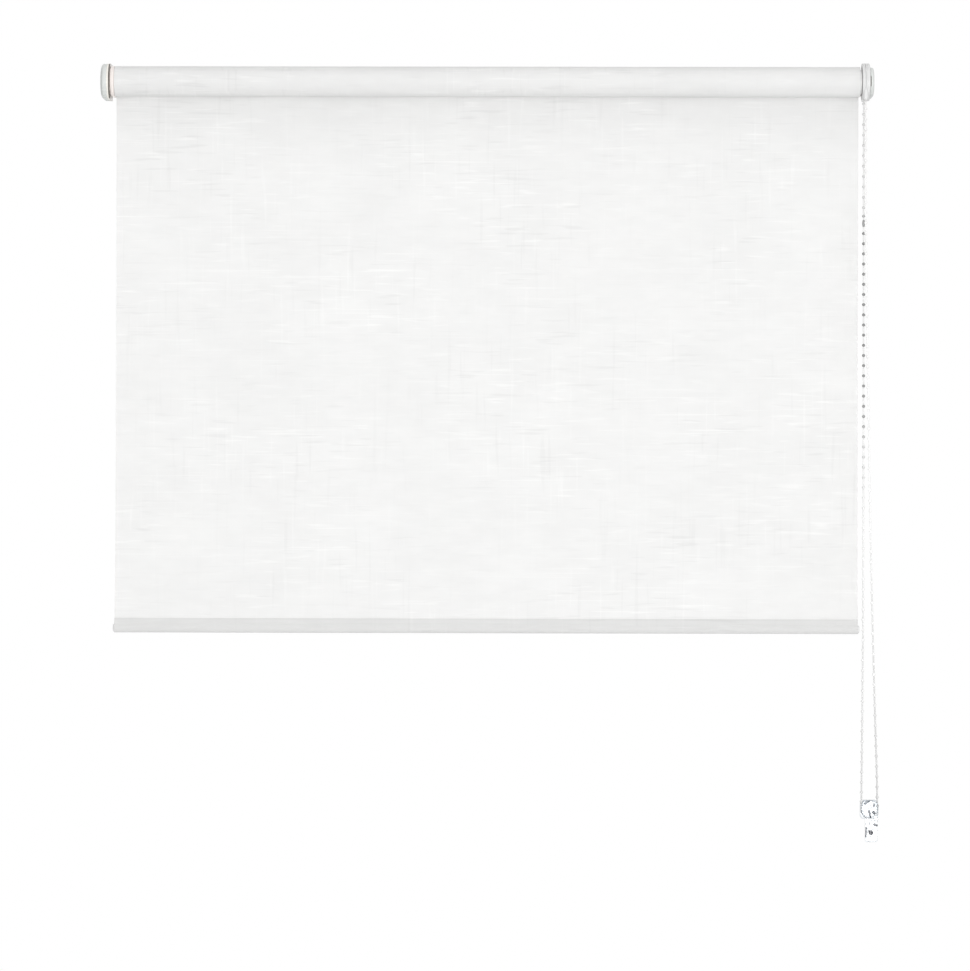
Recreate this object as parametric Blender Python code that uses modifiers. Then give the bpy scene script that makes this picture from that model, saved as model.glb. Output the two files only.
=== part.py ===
"""Roller blind with a sidewinder chain drive, hung between two wall brackets.

World frame: +X runs along the roller towards the chain, +Y points into the wall, +Z is up.
The wall is the plane y = 0 and the origin lies on it, midway along the cloth, level with
the roller's axis. Lengths are in millimetres until MM turns them into metres.
"""

import math

import bmesh
import bpy
from mathutils import Matrix, Vector

MM = 0.001
GAP = 0.3                    # air between pieces that touch

# ---- driving dimensions -------------------------------------------------------------------
CLOTH_HALF = 450.0           # half the cloth's width
CLOTH_THICK = 0.5
ROLLER_Y = -30.0             # the roller's axis, in front of the wall
TUBE_R = 14.0
TUBE_WALL = 1.2
ROLL_R = 18.5                # cloth on the tube at this drop
BLIND_DROP = 667.5           # roller axis to the bottom of the hem
HEM_HEIGHT = 17.5

STEEL = 2.0                  # drive bracket sheet
IDLE_STEEL = 1.3             # idle bracket sheet
PLASTIC = 1.6                # moulded shells
IDLE_R = 21.5                # idle bracket and its cover
DRIVE_COVER_R = 18.0         # drive bracket's cover
GUARD_R = 22.8               # chain guard

BEAD_R = 2.25
CHAIN_CORD_R = 0.75
BEAD_PITCH = 12.0
POCKETS = 9
WHEEL_X = 457.0              # plane of the chain wheel
CHAIN_R = BEAD_PITCH / 2 / math.sin(math.pi / POCKETS)

PIN_R = 2.5
SPINDLE_R = 6.0
SCREW_SHANK_R = 1.9

# ---- derived places -----------------------------------------------------------------------
CLOTH_Y = ROLLER_Y + ROLL_R + GAP + CLOTH_THICK / 2
HEM_BOTTOM = -BLIND_DROP
HEM_TOP = HEM_BOTTOM + HEM_HEIGHT
PLUG_FACE = -CLOTH_HALF - 5.0            # outer face of the idle plug's flange
IDLE_PLATE = PLUG_FACE - GAP             # inner face of the idle bracket
IDLE_COVER_END = -466.6
FLANGE_REACH = 24.0          # along the wall, from a bracket plate to its flange tip
DRIVE_PLATE = 462.7                      # inner face of the drive bracket
BACK_STRAND_Y = ROLLER_Y + CHAIN_R
FRONT_STRAND_Y = ROLLER_Y - CHAIN_R

CLIP_BEND = Vector((465.5, -8.0, -880.0))    # centre of the chain's bend round the post
CLIP_BEND_R = 9.7
STRAND_TOP = -10.6           # where the free strands clear the chain wheel's rim
CONNECTOR_TOP = -165.3
CONNECTOR_LENGTH = 8.4

# a hand-laid route down each strand: x, y, z
BACK_STRAND = [
    (457.0, BACK_STRAND_Y, 0.0), (457.0, BACK_STRAND_Y, -30.0), (457.0, -12.3, -100.0),
    (457.1, -12.0, -172.0), (457.3, -11.5, -280.0), (457.5, -10.9, -400.0),
    (457.6, -10.2, -520.0), (457.5, -9.6, -634.0), (456.9, -8.9, -750.0),
    (456.1, -8.2, -840.0), (455.8, -8.0, -880.0),
]
FRONT_STRAND = [
    (475.2, -8.0, -880.0), (474.5, -9.3, -840.0), (471.4, -13.4, -750.0),
    (467.8, -18.6, -634.0), (464.8, -23.8, -520.0), (462.2, -29.3, -400.0),
    (459.6, -34.8, -280.0), (457.8, -40.0, -172.0), (457.0, -43.6, -100.0),
    (456.9, -46.9, -30.0), (457.0, FRONT_STRAND_Y, 0.0),
]

# ---- scene --------------------------------------------------------------------------------
for old in list(bpy.data.objects):
    bpy.data.objects.remove(old, do_unlink=True)

BLIND = bpy.data.collections.new("roller_blind")
CUTTERS = bpy.data.collections.new("cutters")
for group in (BLIND, CUTTERS):
    bpy.context.scene.collection.children.link(group)

# local X, Y, Z of a flat outline become world Y, Z, X: its thickness lies along the roller
ALONG_X = Matrix(((0, 0, 1), (1, 0, 0), (0, 1, 0))).to_4x4()
# local X, Y, Z become world X, Z, -Y: its thickness points out from the wall
ALONG_Y = Matrix(((1, 0, 0), (0, 0, -1), (0, 1, 0))).to_4x4()


def material(name, colour, roughness, metallic=0.0):
    made = bpy.data.materials.new(name)
    made.use_nodes = True
    shader = made.node_tree.nodes["Principled BSDF"]
    shader.inputs["Base Color"].default_value = (*colour, 1.0)
    shader.inputs["Roughness"].default_value = roughness
    shader.inputs["Metallic"].default_value = metallic
    return made


CLOTH = material("cloth", (0.86, 0.86, 0.84), 0.85)
WHITE = material("white_plastic", (0.80, 0.82, 0.79), 0.35)
IVORY = material("ivory_plastic", (0.84, 0.80, 0.76), 0.40)
GREY = material("grey_plastic", (0.18, 0.18, 0.18), 0.45)
CLEAR = material("clear_plastic", (0.80, 0.85, 0.90), 0.10)
ZINC = material("zinc_steel", (0.42, 0.39, 0.36), 0.35, 1.0)
SPRING = material("spring_steel", (0.50, 0.50, 0.52), 0.30, 1.0)
ALUMINIUM = material("aluminium", (0.70, 0.70, 0.72), 0.35, 1.0)


# ---- modelling helpers --------------------------------------------------------------------
def place(obj, look, home=BLIND):
    home.objects.link(obj)
    if look:
        obj.data.materials.append(look)
    return obj


def as_cutter(obj):
    obj.hide_render = True
    obj.display_type = "WIRE"
    for home in list(obj.users_collection):
        home.objects.unlink(obj)
    CUTTERS.objects.link(obj)
    return obj


def mesh_from_curve(obj):
    """Turn a curve object into a closed mesh object of the same name and place."""
    bpy.context.view_layer.update()
    depsgraph = bpy.context.evaluated_depsgraph_get()
    mesh = bpy.data.meshes.new_from_object(obj.evaluated_get(depsgraph))
    bm = bmesh.new()
    bm.from_mesh(mesh)
    bmesh.ops.remove_doubles(bm, verts=bm.verts, dist=0.002 * MM)
    bmesh.ops.dissolve_limit(bm, angle_limit=0.002, verts=bm.verts, edges=bm.edges)
    bmesh.ops.recalc_face_normals(bm, faces=bm.faces)
    bm.to_mesh(mesh)
    bm.free()
    made = bpy.data.objects.new(obj.name, mesh)
    made.matrix_world = obj.matrix_world
    homes, name = list(obj.users_collection), obj.name
    bpy.data.objects.remove(obj, do_unlink=True)
    made.name = name
    for home in homes:
        home.objects.link(made)
    return made


def outline(name, loops, depth, look, turn=ALONG_X, at=(0, 0, 0), home=BLIND):
    """A flat outline, one outer loop and any holes, made depth thick about the point at."""
    curve = bpy.data.curves.new(name, "CURVE")
    curve.dimensions = "2D"
    curve.fill_mode = "BOTH"
    curve.extrude = depth / 2 * MM
    for loop in loops:
        spline = curve.splines.new("POLY")
        spline.points.add(len(loop) - 1)
        for point, (u, v) in zip(spline.points, loop):
            point.co = (u * MM, v * MM, 0, 1)
        spline.use_cyclic_u = True
    obj = place(bpy.data.objects.new(name, curve), look, home)
    obj.matrix_world = Matrix.Translation(Vector(at) * MM) @ turn
    return mesh_from_curve(obj)


def turned(name, profile, look, turn=None, at=(0, 0, 0), steps=32, home=BLIND):
    """A turned piece. profile lists (height, radius) down the outer side, top first."""
    mesh = bpy.data.meshes.new(name)
    closed = profile[0][1] > 0
    count = len(profile)
    edges = [(k, k + 1) for k in range(count - 1)]
    if closed:
        edges.append((count - 1, 0))
    mesh.from_pydata([(r * MM, 0, h * MM) for h, r in profile], edges, [])
    obj = place(bpy.data.objects.new(name, mesh), look, home)
    obj.matrix_world = Matrix.Translation(Vector(at) * MM) @ (turn or Matrix())
    screw = obj.modifiers.new("turn", "SCREW")
    screw.steps = steps
    screw.render_steps = steps
    screw.use_merge_vertices = True
    screw.merge_threshold = 0.00001
    screw.use_smooth_shade = True
    return obj


# a turned piece's height axis laid along +X, or pointing out of the wall along -Y
TURN_X = Matrix.Rotation(math.pi / 2, 4, "Y")
TURN_OUT = Matrix.Rotation(math.pi / 2, 4, "X")


def tube_along(name, points, radii, look, home=BLIND):
    """A round wire through points, with one radius for each point or one for all."""
    curve = bpy.data.curves.new(name, "CURVE")
    curve.dimensions = "3D"
    thickest = radii if isinstance(radii, float) else max(radii)
    curve.bevel_depth = thickest * MM
    curve.bevel_resolution = 2
    curve.use_fill_caps = True
    spline = curve.splines.new("POLY")
    spline.points.add(len(points) - 1)
    for k, point in enumerate(points):
        spline.points[k].co = (*(Vector(point) * MM), 1)
        spline.points[k].radius = 1.0 if isinstance(radii, float) else radii[k] / thickest
    return place(bpy.data.objects.new(name, curve), look, home)


def box(name, low, high, look=None, home=BLIND):
    bpy.ops.mesh.primitive_cube_add(size=1)
    obj = bpy.context.active_object
    obj.name = name
    for old_home in list(obj.users_collection):
        old_home.objects.unlink(obj)
    low, high = Vector(low) * MM, Vector(high) * MM
    obj.data.transform(Matrix.Diagonal((*(high - low), 1.0)))
    obj.location = (low + high) / 2
    return place(obj, look, home)


def boolean(obj, tool, operation):
    as_cutter(tool)
    change = obj.modifiers.new(operation.lower(), "BOOLEAN")
    change.operation = operation
    change.object = tool
    return obj


def cut(obj, *tools):
    for tool in tools:
        boolean(obj, tool, "DIFFERENCE")
    return obj


def fuse(obj, *tools):
    for tool in tools:
        boolean(obj, tool, "UNION")
    return obj


def round_rim(obj, height, radial, segments=4):
    """Round the rim of an outline's face at local z = height, radial deep."""
    mesh = obj.data
    weights = mesh.attributes.new("bevel_weight_edge", "FLOAT", "EDGE")
    for edge in mesh.edges:
        ends = [mesh.vertices[v].co.z for v in edge.vertices]
        weights.data[edge.index].value = float(all(abs(z - height * MM) < 1e-6 for z in ends))
    bevel = obj.modifiers.new("rim", "BEVEL")
    bevel.width = radial * MM
    bevel.segments = segments
    bevel.limit_method = "WEIGHT"
    bevel.use_clamp_overlap = False
    return obj


def arc(centre, radius, start, end, count):
    """Points on an arc, angles in degrees from local X towards local Y."""
    found = []
    for k in range(count + 1):
        a = math.radians(start + (end - start) * k / count)
        found.append((centre[0] + radius * math.cos(a), centre[1] + radius * math.sin(a)))
    return found


def u_loop(radius, back, count=24):
    """A round front about the roller's axis, with straight sides back towards the wall."""
    return [(back, radius)] + arc((ROLLER_Y, 0), radius, 90, 270, count) + [(back, -radius)]


def rounded_box_loop(low, high, radius, count=4):
    corners = [(high[0] - radius, high[1] - radius, 0), (low[0] + radius, high[1] - radius, 90),
               (low[0] + radius, low[1] + radius, 180), (high[0] - radius, low[1] + radius, 270)]
    found = []
    for u, v, start in corners:
        found += arc((u, v), radius, start, start + 90, count)
    return found


def oval_loop(half_depth, half_height, centre, count=28):
    return [(centre[0] + half_depth * math.cos(2 * math.pi * k / count),
             centre[1] + half_height * math.sin(2 * math.pi * k / count)) for k in range(count)]


def hole_cutter(name, centre, radius, length, turn, steps=24):
    half = length / 2
    profile = [(half, 0), (half, radius), (-half, radius), (-half, 0)]
    return turned(name, profile, None, turn, centre, steps, CUTTERS)


def helix(x_start, pitch, turns, radius, per_turn, first=0.0):
    """Points of a coil about the roller's axis."""
    found = []
    for k in range(int(turns * per_turn) + 1):
        a = first + 2 * math.pi * k / per_turn
        found.append((x_start + pitch * k / per_turn,
                      ROLLER_Y + radius * math.cos(a), radius * math.sin(a)))
    return found


def smooth_route(points, count):
    """Even points on the Catmull-Rom curve through hand-laid points."""
    points = [Vector(p) for p in points]
    ends = [2 * points[0] - points[1]] + points + [2 * points[-1] - points[-2]]
    dense = []
    for a, b, c, d in zip(ends, ends[1:], ends[2:], ends[3:]):
        for k in range(24):
            t = k / 24
            dense.append(0.5 * (2 * b + (c - a) * t + (2 * a - 5 * b + 4 * c - d) * t ** 2
                                + (3 * b - a - 3 * c + d) * t ** 3))
    dense.append(points[-1])
    steps = [0.0]
    for a, b in zip(dense, dense[1:]):
        steps.append(steps[-1] + (b - a).length)
    found, k = [], 0
    for n in range(count):
        want = steps[-1] * n / (count - 1)
        while k < len(steps) - 2 and steps[k + 1] < want:
            k += 1
        t = (want - steps[k]) / (steps[k + 1] - steps[k])
        found.append(dense[k].lerp(dense[k + 1], min(1.0, t)))
    return found


AXIS = (0, ROLLER_Y, 0)


def on_axis(name, profile, look, steps=32, home=BLIND):
    """A turned piece about the roller's axis; profile heights are world X."""
    return turned(name, profile, look, TURN_X, AXIS, steps, home)


# ---- fasteners ----------------------------------------------------------------------------
def wall_screw(name, x, z, seat_y, shank=24.0):
    """Pan-head screw driven into the wall, its head bearing on a face at seat_y."""
    head_r, head_h = 3.6, 2.4
    seat = -seat_y + GAP
    profile = [(seat + head_h, 0), (seat + head_h, 1.6), (seat + head_h * 0.72, 2.9),
               (seat + head_h * 0.3, head_r), (seat, head_r), (seat, SCREW_SHANK_R),
               (-shank + 4, SCREW_SHANK_R), (-shank, 0)]
    screw = turned(name, profile, ZINC, TURN_OUT, (x, 0, z), 16)
    top = seat_y - GAP - head_h
    for k, (wide, tall) in enumerate(((3.6, 0.9), (0.9, 3.6))):
        cut(screw, box(f"{name}_drive_{k}", (x - wide / 2, top - 1, z - tall / 2),
                       (x + wide / 2, top + 1.1, z + tall / 2), home=CUTTERS))


# ---- brackets -----------------------------------------------------------------------------
def bracket(name, radius, x_inner, outward, flange_half, hole_r, screw_x, sheet=STEEL):
    """Bent steel sheet: a plate across the roller's end and a flange flat on the wall."""
    x_mid = x_inner + outward * sheet / 2
    x_outer = x_inner + outward * sheet
    x_tip = x_outer - outward * FLANGE_REACH
    plate = outline(name, [u_loop(radius, 0)], sheet, ZINC, at=(x_mid, 0, 0))
    low, high = sorted((x_tip, x_outer))
    flange = box(f"{name}_flange", (low, -sheet, -flange_half), (high, 0, flange_half),
                 home=CUTTERS)
    fuse(plate, flange)
    cut(plate, hole_cutter(f"{name}_hole", (x_mid, ROLLER_Y, 0), hole_r, 8, TURN_X))
    for side in (1, -1):
        cut(plate, hole_cutter(f"{name}_screw_hole_{side}", (screw_x, 0, side * 9.0), 2.4, 10,
                               TURN_OUT, 16))
        label = "upper" if side > 0 else "lower"
        wall_screw(f"{name}_screw_{label}", screw_x, side * 9.0, -sheet)


def bracket_cover(name, radius, x_open, x_end, wall, rim):
    """Moulded cap that snaps over the outside of a bracket's plate."""
    outward = 1 if x_end > x_open else -1
    depth = abs(x_end - x_open)
    middle = (x_open + x_end) / 2
    shell = outline(name, [u_loop(radius, -0.5)], depth, WHITE, at=(middle, 0, 0))
    round_rim(shell, outward * depth / 2, rim)
    hollow = outline(f"{name}_hollow", [u_loop(radius - wall, 2.0, 20)], depth, None,
                     at=(middle - outward * wall, 0, 0), home=CUTTERS)
    round_rim(hollow, outward * depth / 2, rim - wall * 0.8, 3)
    cut(shell, hollow)


bracket("idle_bracket", IDLE_R, IDLE_PLATE, -1, 17.0, PIN_R + 0.4, -441.0, IDLE_STEEL)
bracket_cover("idle_bracket_cover", IDLE_R, IDLE_PLATE - IDLE_STEEL - GAP, IDLE_COVER_END,
              PLASTIC, 4.0)

SPINDLE_BOSS_R = 4.8
DRIVE_WALL = 1.1
bracket("drive_bracket", DRIVE_COVER_R - DRIVE_WALL - GAP, DRIVE_PLATE, 1, 14.5,
        SPINDLE_BOSS_R + 0.3, 449.0)
bracket_cover("drive_bracket_cover", DRIVE_COVER_R, DRIVE_PLATE + 0.2, 467.4, DRIVE_WALL, 2.0)


# ---- roller -------------------------------------------------------------------------------
def roller():
    inner = TUBE_R - TUBE_WALL
    on_axis("roller_tube", [(CLOTH_HALF, TUBE_R), (-CLOTH_HALF, TUBE_R),
                            (-CLOTH_HALF, inner), (CLOTH_HALF, inner)], ALUMINIUM, 40)
    on_axis("fabric_roll", [(CLOTH_HALF, ROLL_R), (-CLOTH_HALF, ROLL_R),
                            (-CLOTH_HALF, TUBE_R + GAP), (CLOTH_HALF, TUBE_R + GAP)],
            CLOTH, 56)


PLUG_BARREL_R = TUBE_R - TUBE_WALL - GAP
BUSH_R = 6.3
BUSH_FLANGE_R = 8.0


def idle_end():
    """The plug turns with the tube on a fixed bush; a sprung pin drops into the bracket."""
    seat = PLUG_FACE + 1.7
    on_axis("idle_end_plug", [
        (-415.0, PLUG_BARREL_R - 0.8), (-418.0, PLUG_BARREL_R),
        (-CLOTH_HALF - GAP, PLUG_BARREL_R), (-CLOTH_HALF - GAP, ROLL_R - 0.4),
        (-CLOTH_HALF - GAP - 0.5, ROLL_R), (PLUG_FACE + 0.6, ROLL_R), (PLUG_FACE, ROLL_R - 0.6),
        (PLUG_FACE, BUSH_FLANGE_R + GAP), (seat, BUSH_FLANGE_R + GAP), (seat, BUSH_R + GAP),
        (-415.0, BUSH_R + GAP)], IVORY, 40)
    chamber_r, bore_r = 4.3, PIN_R + 0.3
    chamber_outer, chamber_inner = -438.0, -421.0
    on_axis("idle_bush", [
        (-418.0, BUSH_R), (seat - GAP, BUSH_R), (seat - GAP, BUSH_FLANGE_R),
        (PLUG_FACE + 0.1, BUSH_FLANGE_R), (PLUG_FACE + 0.1, bore_r), (chamber_outer, bore_r),
        (chamber_outer, chamber_r), (chamber_inner, chamber_r), (chamber_inner, bore_r),
        (-418.0, bore_r)], GREY, 28)
    collar = chamber_outer + 0.4
    on_axis("idle_pin", [
        (-416.0, 0), (-416.0, 1.9), (-416.6, PIN_R), (collar + 2.0, PIN_R),
        (collar + 2.0, 3.9), (collar, 3.9), (collar, PIN_R), (-460.2, PIN_R), (-461.2, 1.5),
        (-461.2, 0)], ZINC, 24)
    coil_start, coil_end = collar + 2.0 + GAP + 0.4, chamber_inner - GAP - 0.4
    turns = 6
    tube_along("idle_pin_spring", helix(coil_start, (coil_end - coil_start) / turns, turns,
                                        3.3, 10), 0.4, SPRING)


CROWN_END = 414.0


def clutch():
    """Crown, fixed spindle, two wrap springs and the screw that holds them together."""
    crown_bore = 9.2
    flange_r = TUBE_R + 1.2
    crown = on_axis("clutch_crown", [
        (452.8, flange_r - 0.4), (452.4, flange_r), (451.0, flange_r), (450.6, flange_r - 0.4),
        (450.6, PLUG_BARREL_R),
        (CROWN_END + 3, PLUG_BARREL_R), (CROWN_END, PLUG_BARREL_R - 0.8),
        (CROWN_END, SPINDLE_R + 0.4), (CROWN_END + 2, SPINDLE_R + 0.4),
        (CROWN_END + 2, crown_bore), (452.8, crown_bore)], GREY, 40)
    key = box("crown_key", (CROWN_END + 1, ROLLER_Y - 1.4, 8.3),
              (436.0, ROLLER_Y + 1.4, 11.0), home=CUTTERS)
    fuse(crown, key)
    spindle = on_axis("clutch_spindle", [
        (465.3, 0), (465.3, SPINDLE_BOSS_R), (460.8, SPINDLE_BOSS_R), (460.8, 10.0),
        (459.9, 10.0), (459.9, SPINDLE_R), (412.6, SPINDLE_R), (412.0, SPINDLE_R - 0.6),
        (412.0, 1.75), (428.0, 1.75), (428.0, 0)], WHITE, 32)
    for side in (1, -1):
        cut(spindle, box(f"spindle_flat_{side}",
                         (462.2, ROLLER_Y - 8, side * 4.1 - (4 if side < 0 else 0)),
                         (470.0, ROLLER_Y + 8, side * 4.1 + (4 if side > 0 else 0)),
                         home=CUTTERS))
    turns, wire, coil_r = 5, 0.75, SPINDLE_R + 0.3 + 0.75
    for label, start in (("outer", 430.85), ("inner", 421.0)):
        coil = helix(start, 1.6, turns, coil_r, 14, math.radians(60))
        tang = [(coil[0][0], ROLLER_Y + 8.7 * math.cos(math.radians(60)),
                 8.7 * math.sin(math.radians(60)))]
        tube_along(f"wrap_spring_{label}", tang + coil, wire, SPRING)
    on_axis("clutch_washer", [(411.7, 7.4), (410.5, 7.4), (410.5, 2.0), (411.7, 2.0)], ZINC, 24)
    screw = on_axis("clutch_screw", [
        (425.0, 0), (424.0, 1.45), (410.2, 1.45), (410.2, 3.3), (409.0, 3.3), (408.0, 2.4),
        (408.0, 0)], ZINC, 20)
    cut(screw, box("clutch_screw_slot", (407.0, ROLLER_Y - 3, -0.4),
                   (408.9, ROLLER_Y + 3, 0.4), home=CUTTERS))


def chain_wheel():
    """Nine-pocket wheel whose hub and tongue reach into the crown past the springs."""
    half, rim_r, groove_r, groove_half = 2.2, 18.4, 15.5, 1.1
    bore, hub_r = SPINDLE_R + 0.3, 8.85
    wheel = on_axis("chain_wheel", [
        (WHEEL_X + half, rim_r - 0.4), (WHEEL_X + half - 0.4, rim_r),
        (WHEEL_X + groove_half, rim_r), (WHEEL_X + groove_half, groove_r),
        (WHEEL_X - groove_half, groove_r), (WHEEL_X - groove_half, rim_r),
        (WHEEL_X - half + 0.4, rim_r), (WHEEL_X - half, rim_r - 0.4), (WHEEL_X - half, hub_r),
        (440.0, hub_r), (440.0, bore), (WHEEL_X + half, bore)], WHITE, 36)
    for k in range(POCKETS):
        a = math.radians(10 + 360 / POCKETS * k)
        bpy.ops.mesh.primitive_uv_sphere_add(segments=10, ring_count=6, radius=(BEAD_R + 0.3) * MM)
        pocket = bpy.context.active_object
        pocket.name = f"pocket_{k}"
        pocket.location = Vector((WHEEL_X, ROLLER_Y + CHAIN_R * math.cos(a),
                                  CHAIN_R * math.sin(a))) * MM
        cut(wheel, pocket)
    tongue_loop = (arc((ROLLER_Y, 0), hub_r, 150, 330, 12)
                   + arc((ROLLER_Y, 0), 8.15, 330, 150, 12))
    tongue = outline("wheel_tongue", [tongue_loop], 20.0, None, at=(431.0, 0, 0), home=CUTTERS)
    fuse(wheel, tongue)


def chain_guard():
    """Two moulded halves round the chain wheel, with slots where the strands pass."""
    inner_r, part_line = GUARD_R - PLASTIC, 456.85
    web_in, web_out = 453.1, 454.3
    inner = on_axis("chain_guard_inner", [
        (part_line - 0.15, GUARD_R - 0.4), (part_line - 0.55, GUARD_R), (web_in + 0.5, GUARD_R),
        (web_in, GUARD_R - 0.5), (web_in, 9.6), (web_out, 9.6), (web_out, inner_r),
        (part_line - 0.15, inner_r)], WHITE, 44)
    face = DRIVE_PLATE - GAP
    outer = on_axis("chain_guard_outer", [
        (face, GUARD_R - 1.2), (face - 0.4, GUARD_R - 0.4), (face - 1.2, GUARD_R),
        (part_line + 0.55, GUARD_R), (part_line + 0.15, GUARD_R - 0.4),
        (part_line + 0.15, inner_r), (face - 1.3, inner_r), (face - 1.3, SPINDLE_BOSS_R + GAP),
        (face, SPINDLE_BOSS_R + GAP)], WHITE, 44)
    for half_guard, tag in ((inner, "inner"), (outer, "outer")):
        for label, y in (("front", FRONT_STRAND_Y), ("back", BACK_STRAND_Y)):
            cut(half_guard, box(f"slot_{tag}_{label}", (web_out + 0.1, y - 2.9, -30.0),
                                (459.7, y + 2.9, -8.0), home=CUTTERS))


roller()
idle_end()
clutch()
chain_wheel()
chain_guard()


# ---- hanging cloth, hem and bottom bar ----------------------------------------------------
def cloth_and_bar():
    box("fabric_drop", (-CLOTH_HALF, CLOTH_Y - CLOTH_THICK / 2, HEM_TOP + GAP),
        (CLOTH_HALF, CLOTH_Y + CLOTH_THICK / 2, 0.0), CLOTH)
    bar_z = HEM_BOTTOM + 5.9
    pocket = oval_loop(3.6, 5.9, (CLOTH_Y, bar_z), 28)
    lower = [p for p in pocket if p[1] <= bar_z + 3.4]
    lower.sort(key=lambda p: -math.atan2(p[0] - CLOTH_Y, -(p[1] - bar_z)))
    neck = 0.7
    sleeve = [(CLOTH_Y + neck, HEM_TOP)] + lower + [(CLOTH_Y - neck, HEM_TOP)]
    outline("hem_pocket", [sleeve, oval_loop(3.1, 5.3, (CLOTH_Y, bar_z), 24)],
            2 * CLOTH_HALF, CLOTH)
    bar_half = CLOTH_HALF - GAP
    outline("bottom_bar", [oval_loop(2.7, 4.9, (CLOTH_Y, bar_z), 24),
                           oval_loop(1.7, 3.9, (CLOTH_Y, bar_z), 24)],
            2 * bar_half, ALUMINIUM)
    for label, side in (("left", -1), ("right", 1)):
        face, end = side * (CLOTH_HALF + 0.1), side * (CLOTH_HALF + 2.8)
        cap = outline(f"bottom_bar_cap_{label}", [oval_loop(3.3, 4.9, (CLOTH_Y, bar_z), 24)],
                      abs(end - face), WHITE, at=((face + end) / 2, 0, 0))
        round_rim(cap, side * abs(end - face) / 2, 2.0, 3)
        stem = outline(f"bar_cap_stem_{label}", [oval_loop(1.4, 3.6, (CLOTH_Y, bar_z), 20)],
                       14.0, None, at=(face - side * 6.0, 0, 0), home=CUTTERS)
        fuse(cap, stem)


cloth_and_bar()


# ---- bead chain ---------------------------------------------------------------------------
def chain_on_wheel():
    """The half turn of beads seated in the wheel's pockets."""
    points, radii = [], []

    def add(angle, radius, thick):
        a = math.radians(angle)
        points.append((WHEEL_X, ROLLER_Y + radius * math.cos(a), radius * math.sin(a)))
        radii.append(thick)

    def tail(side):
        points.append((WHEEL_X, ROLLER_Y + side * CHAIN_R, STRAND_TOP + GAP))
        radii.append(CHAIN_CORD_R)

    tail(1)
    add(0.0, CHAIN_R, CHAIN_CORD_R)
    step = math.degrees(1.0 / CHAIN_R)
    for k in range(5):
        bead = 10 + 40 * k
        for offset, share in ((-2.15, 0.36), (-1.6, 0.71), (0, 1.0), (1.6, 0.71), (2.15, 0.36)):
            add(bead + offset * step, CHAIN_R, BEAD_R * share)
        if k < 4:
            add(bead + 20, CHAIN_R * math.cos(math.radians(20)), CHAIN_CORD_R)
    add(180.0, CHAIN_R, CHAIN_CORD_R)
    tail(-1)
    tube_along("chain_on_wheel", points, radii, WHITE)


def free_chain():
    """The free strands, the bend round the clip's post and the connector on the back one."""
    bend = []
    for k in range(1, 12):
        a = math.pi * (1 + k / 12)
        bend.append((CLIP_BEND.x + CLIP_BEND_R * math.cos(a), CLIP_BEND.y,
                     CLIP_BEND.z + CLIP_BEND_R * math.sin(a)))
    back = smooth_route(BACK_STRAND, 400)
    upper = [p for p in back if STRAND_TOP >= p.z >= CONNECTOR_TOP + GAP]
    lower = [p for p in back if p.z <= CONNECTOR_TOP - CONNECTOR_LENGTH - GAP]
    front = [p for p in smooth_route(FRONT_STRAND, 400) if p.z <= STRAND_TOP]
    tube_along("chain_upper_back", upper[::9] + [upper[-1]], BEAD_R, WHITE)
    tube_along("chain_main", lower[:-5:11] + [lower[-1]] + [Vector(p) for p in bend]
               + [front[0]] + front[11::11] + [front[-1]], BEAD_R, WHITE)
    middle = CONNECTOR_TOP - CONNECTOR_LENGTH / 2
    here = min(back, key=lambda p: abs(p.z - middle))
    half = CONNECTOR_LENGTH / 2
    turned("chain_connector", [
        (half, 0), (half, 1.2), (half - 0.8, 2.1), (half - 2.2, 2.5), (half - 3.4, 2.0),
        (0.0, 1.8), (3.4 - half, 2.0), (2.2 - half, 2.5), (0.8 - half, 2.1), (-half, 1.2),
        (-half, 0)], GREY, at=(here.x, here.y, middle), steps=16)


chain_on_wheel()
free_chain()


# ---- child-safety clip --------------------------------------------------------------------
CLIP_SCREW = (468.0, -908.6)
CLIP_PLATE = 2.2


def chain_clip():
    """Clear clip: a back plate on the wall, and a post with a front flange for the chain."""
    tab = rounded_box_loop((460.9, -920.0), (476.0, -872.0), 2.5)
    clip = outline("chain_clip", [tab], CLIP_PLATE, CLEAR, ALONG_Y, (0, -CLIP_PLATE / 2, 0))
    head_loop = rounded_box_loop((454.5, -892.0), (476.3, -868.8), 4.0)
    head = outline("clip_head", [head_loop], CLIP_PLATE - 0.2, None, ALONG_Y,
                   (0, -CLIP_PLATE / 2, 0), CUTTERS)
    front = outline("clip_front", [head_loop], 1.8, None, ALONG_Y, (0, -12.9, 0), CUTTERS)
    post = hole_cutter("clip_post", (CLIP_BEND.x, -7.0, CLIP_BEND.z), 7.0, 12.0, TURN_OUT, 28)
    fuse(clip, head, front, post)
    cut(clip, hole_cutter("clip_hole", (CLIP_SCREW[0], 0, CLIP_SCREW[1]), 2.4, 12, TURN_OUT, 16))
    wall_screw("chain_clip_screw", CLIP_SCREW[0], CLIP_SCREW[1], -CLIP_PLATE)


chain_clip()
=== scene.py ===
"""Looks for the roller blind: woven cloth, bead chain, moulded covers, guard and clear clip.

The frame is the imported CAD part: +X runs along the roller towards the chain, +Y points into
the wall and +Z is up. Lengths here are in millimetres until MM turns them into metres.
"""
from math import cos, exp, pi, radians, sin, tan

import bmesh
import bpy
import numpy as np
from mathutils import Matrix, Vector, noise


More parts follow.
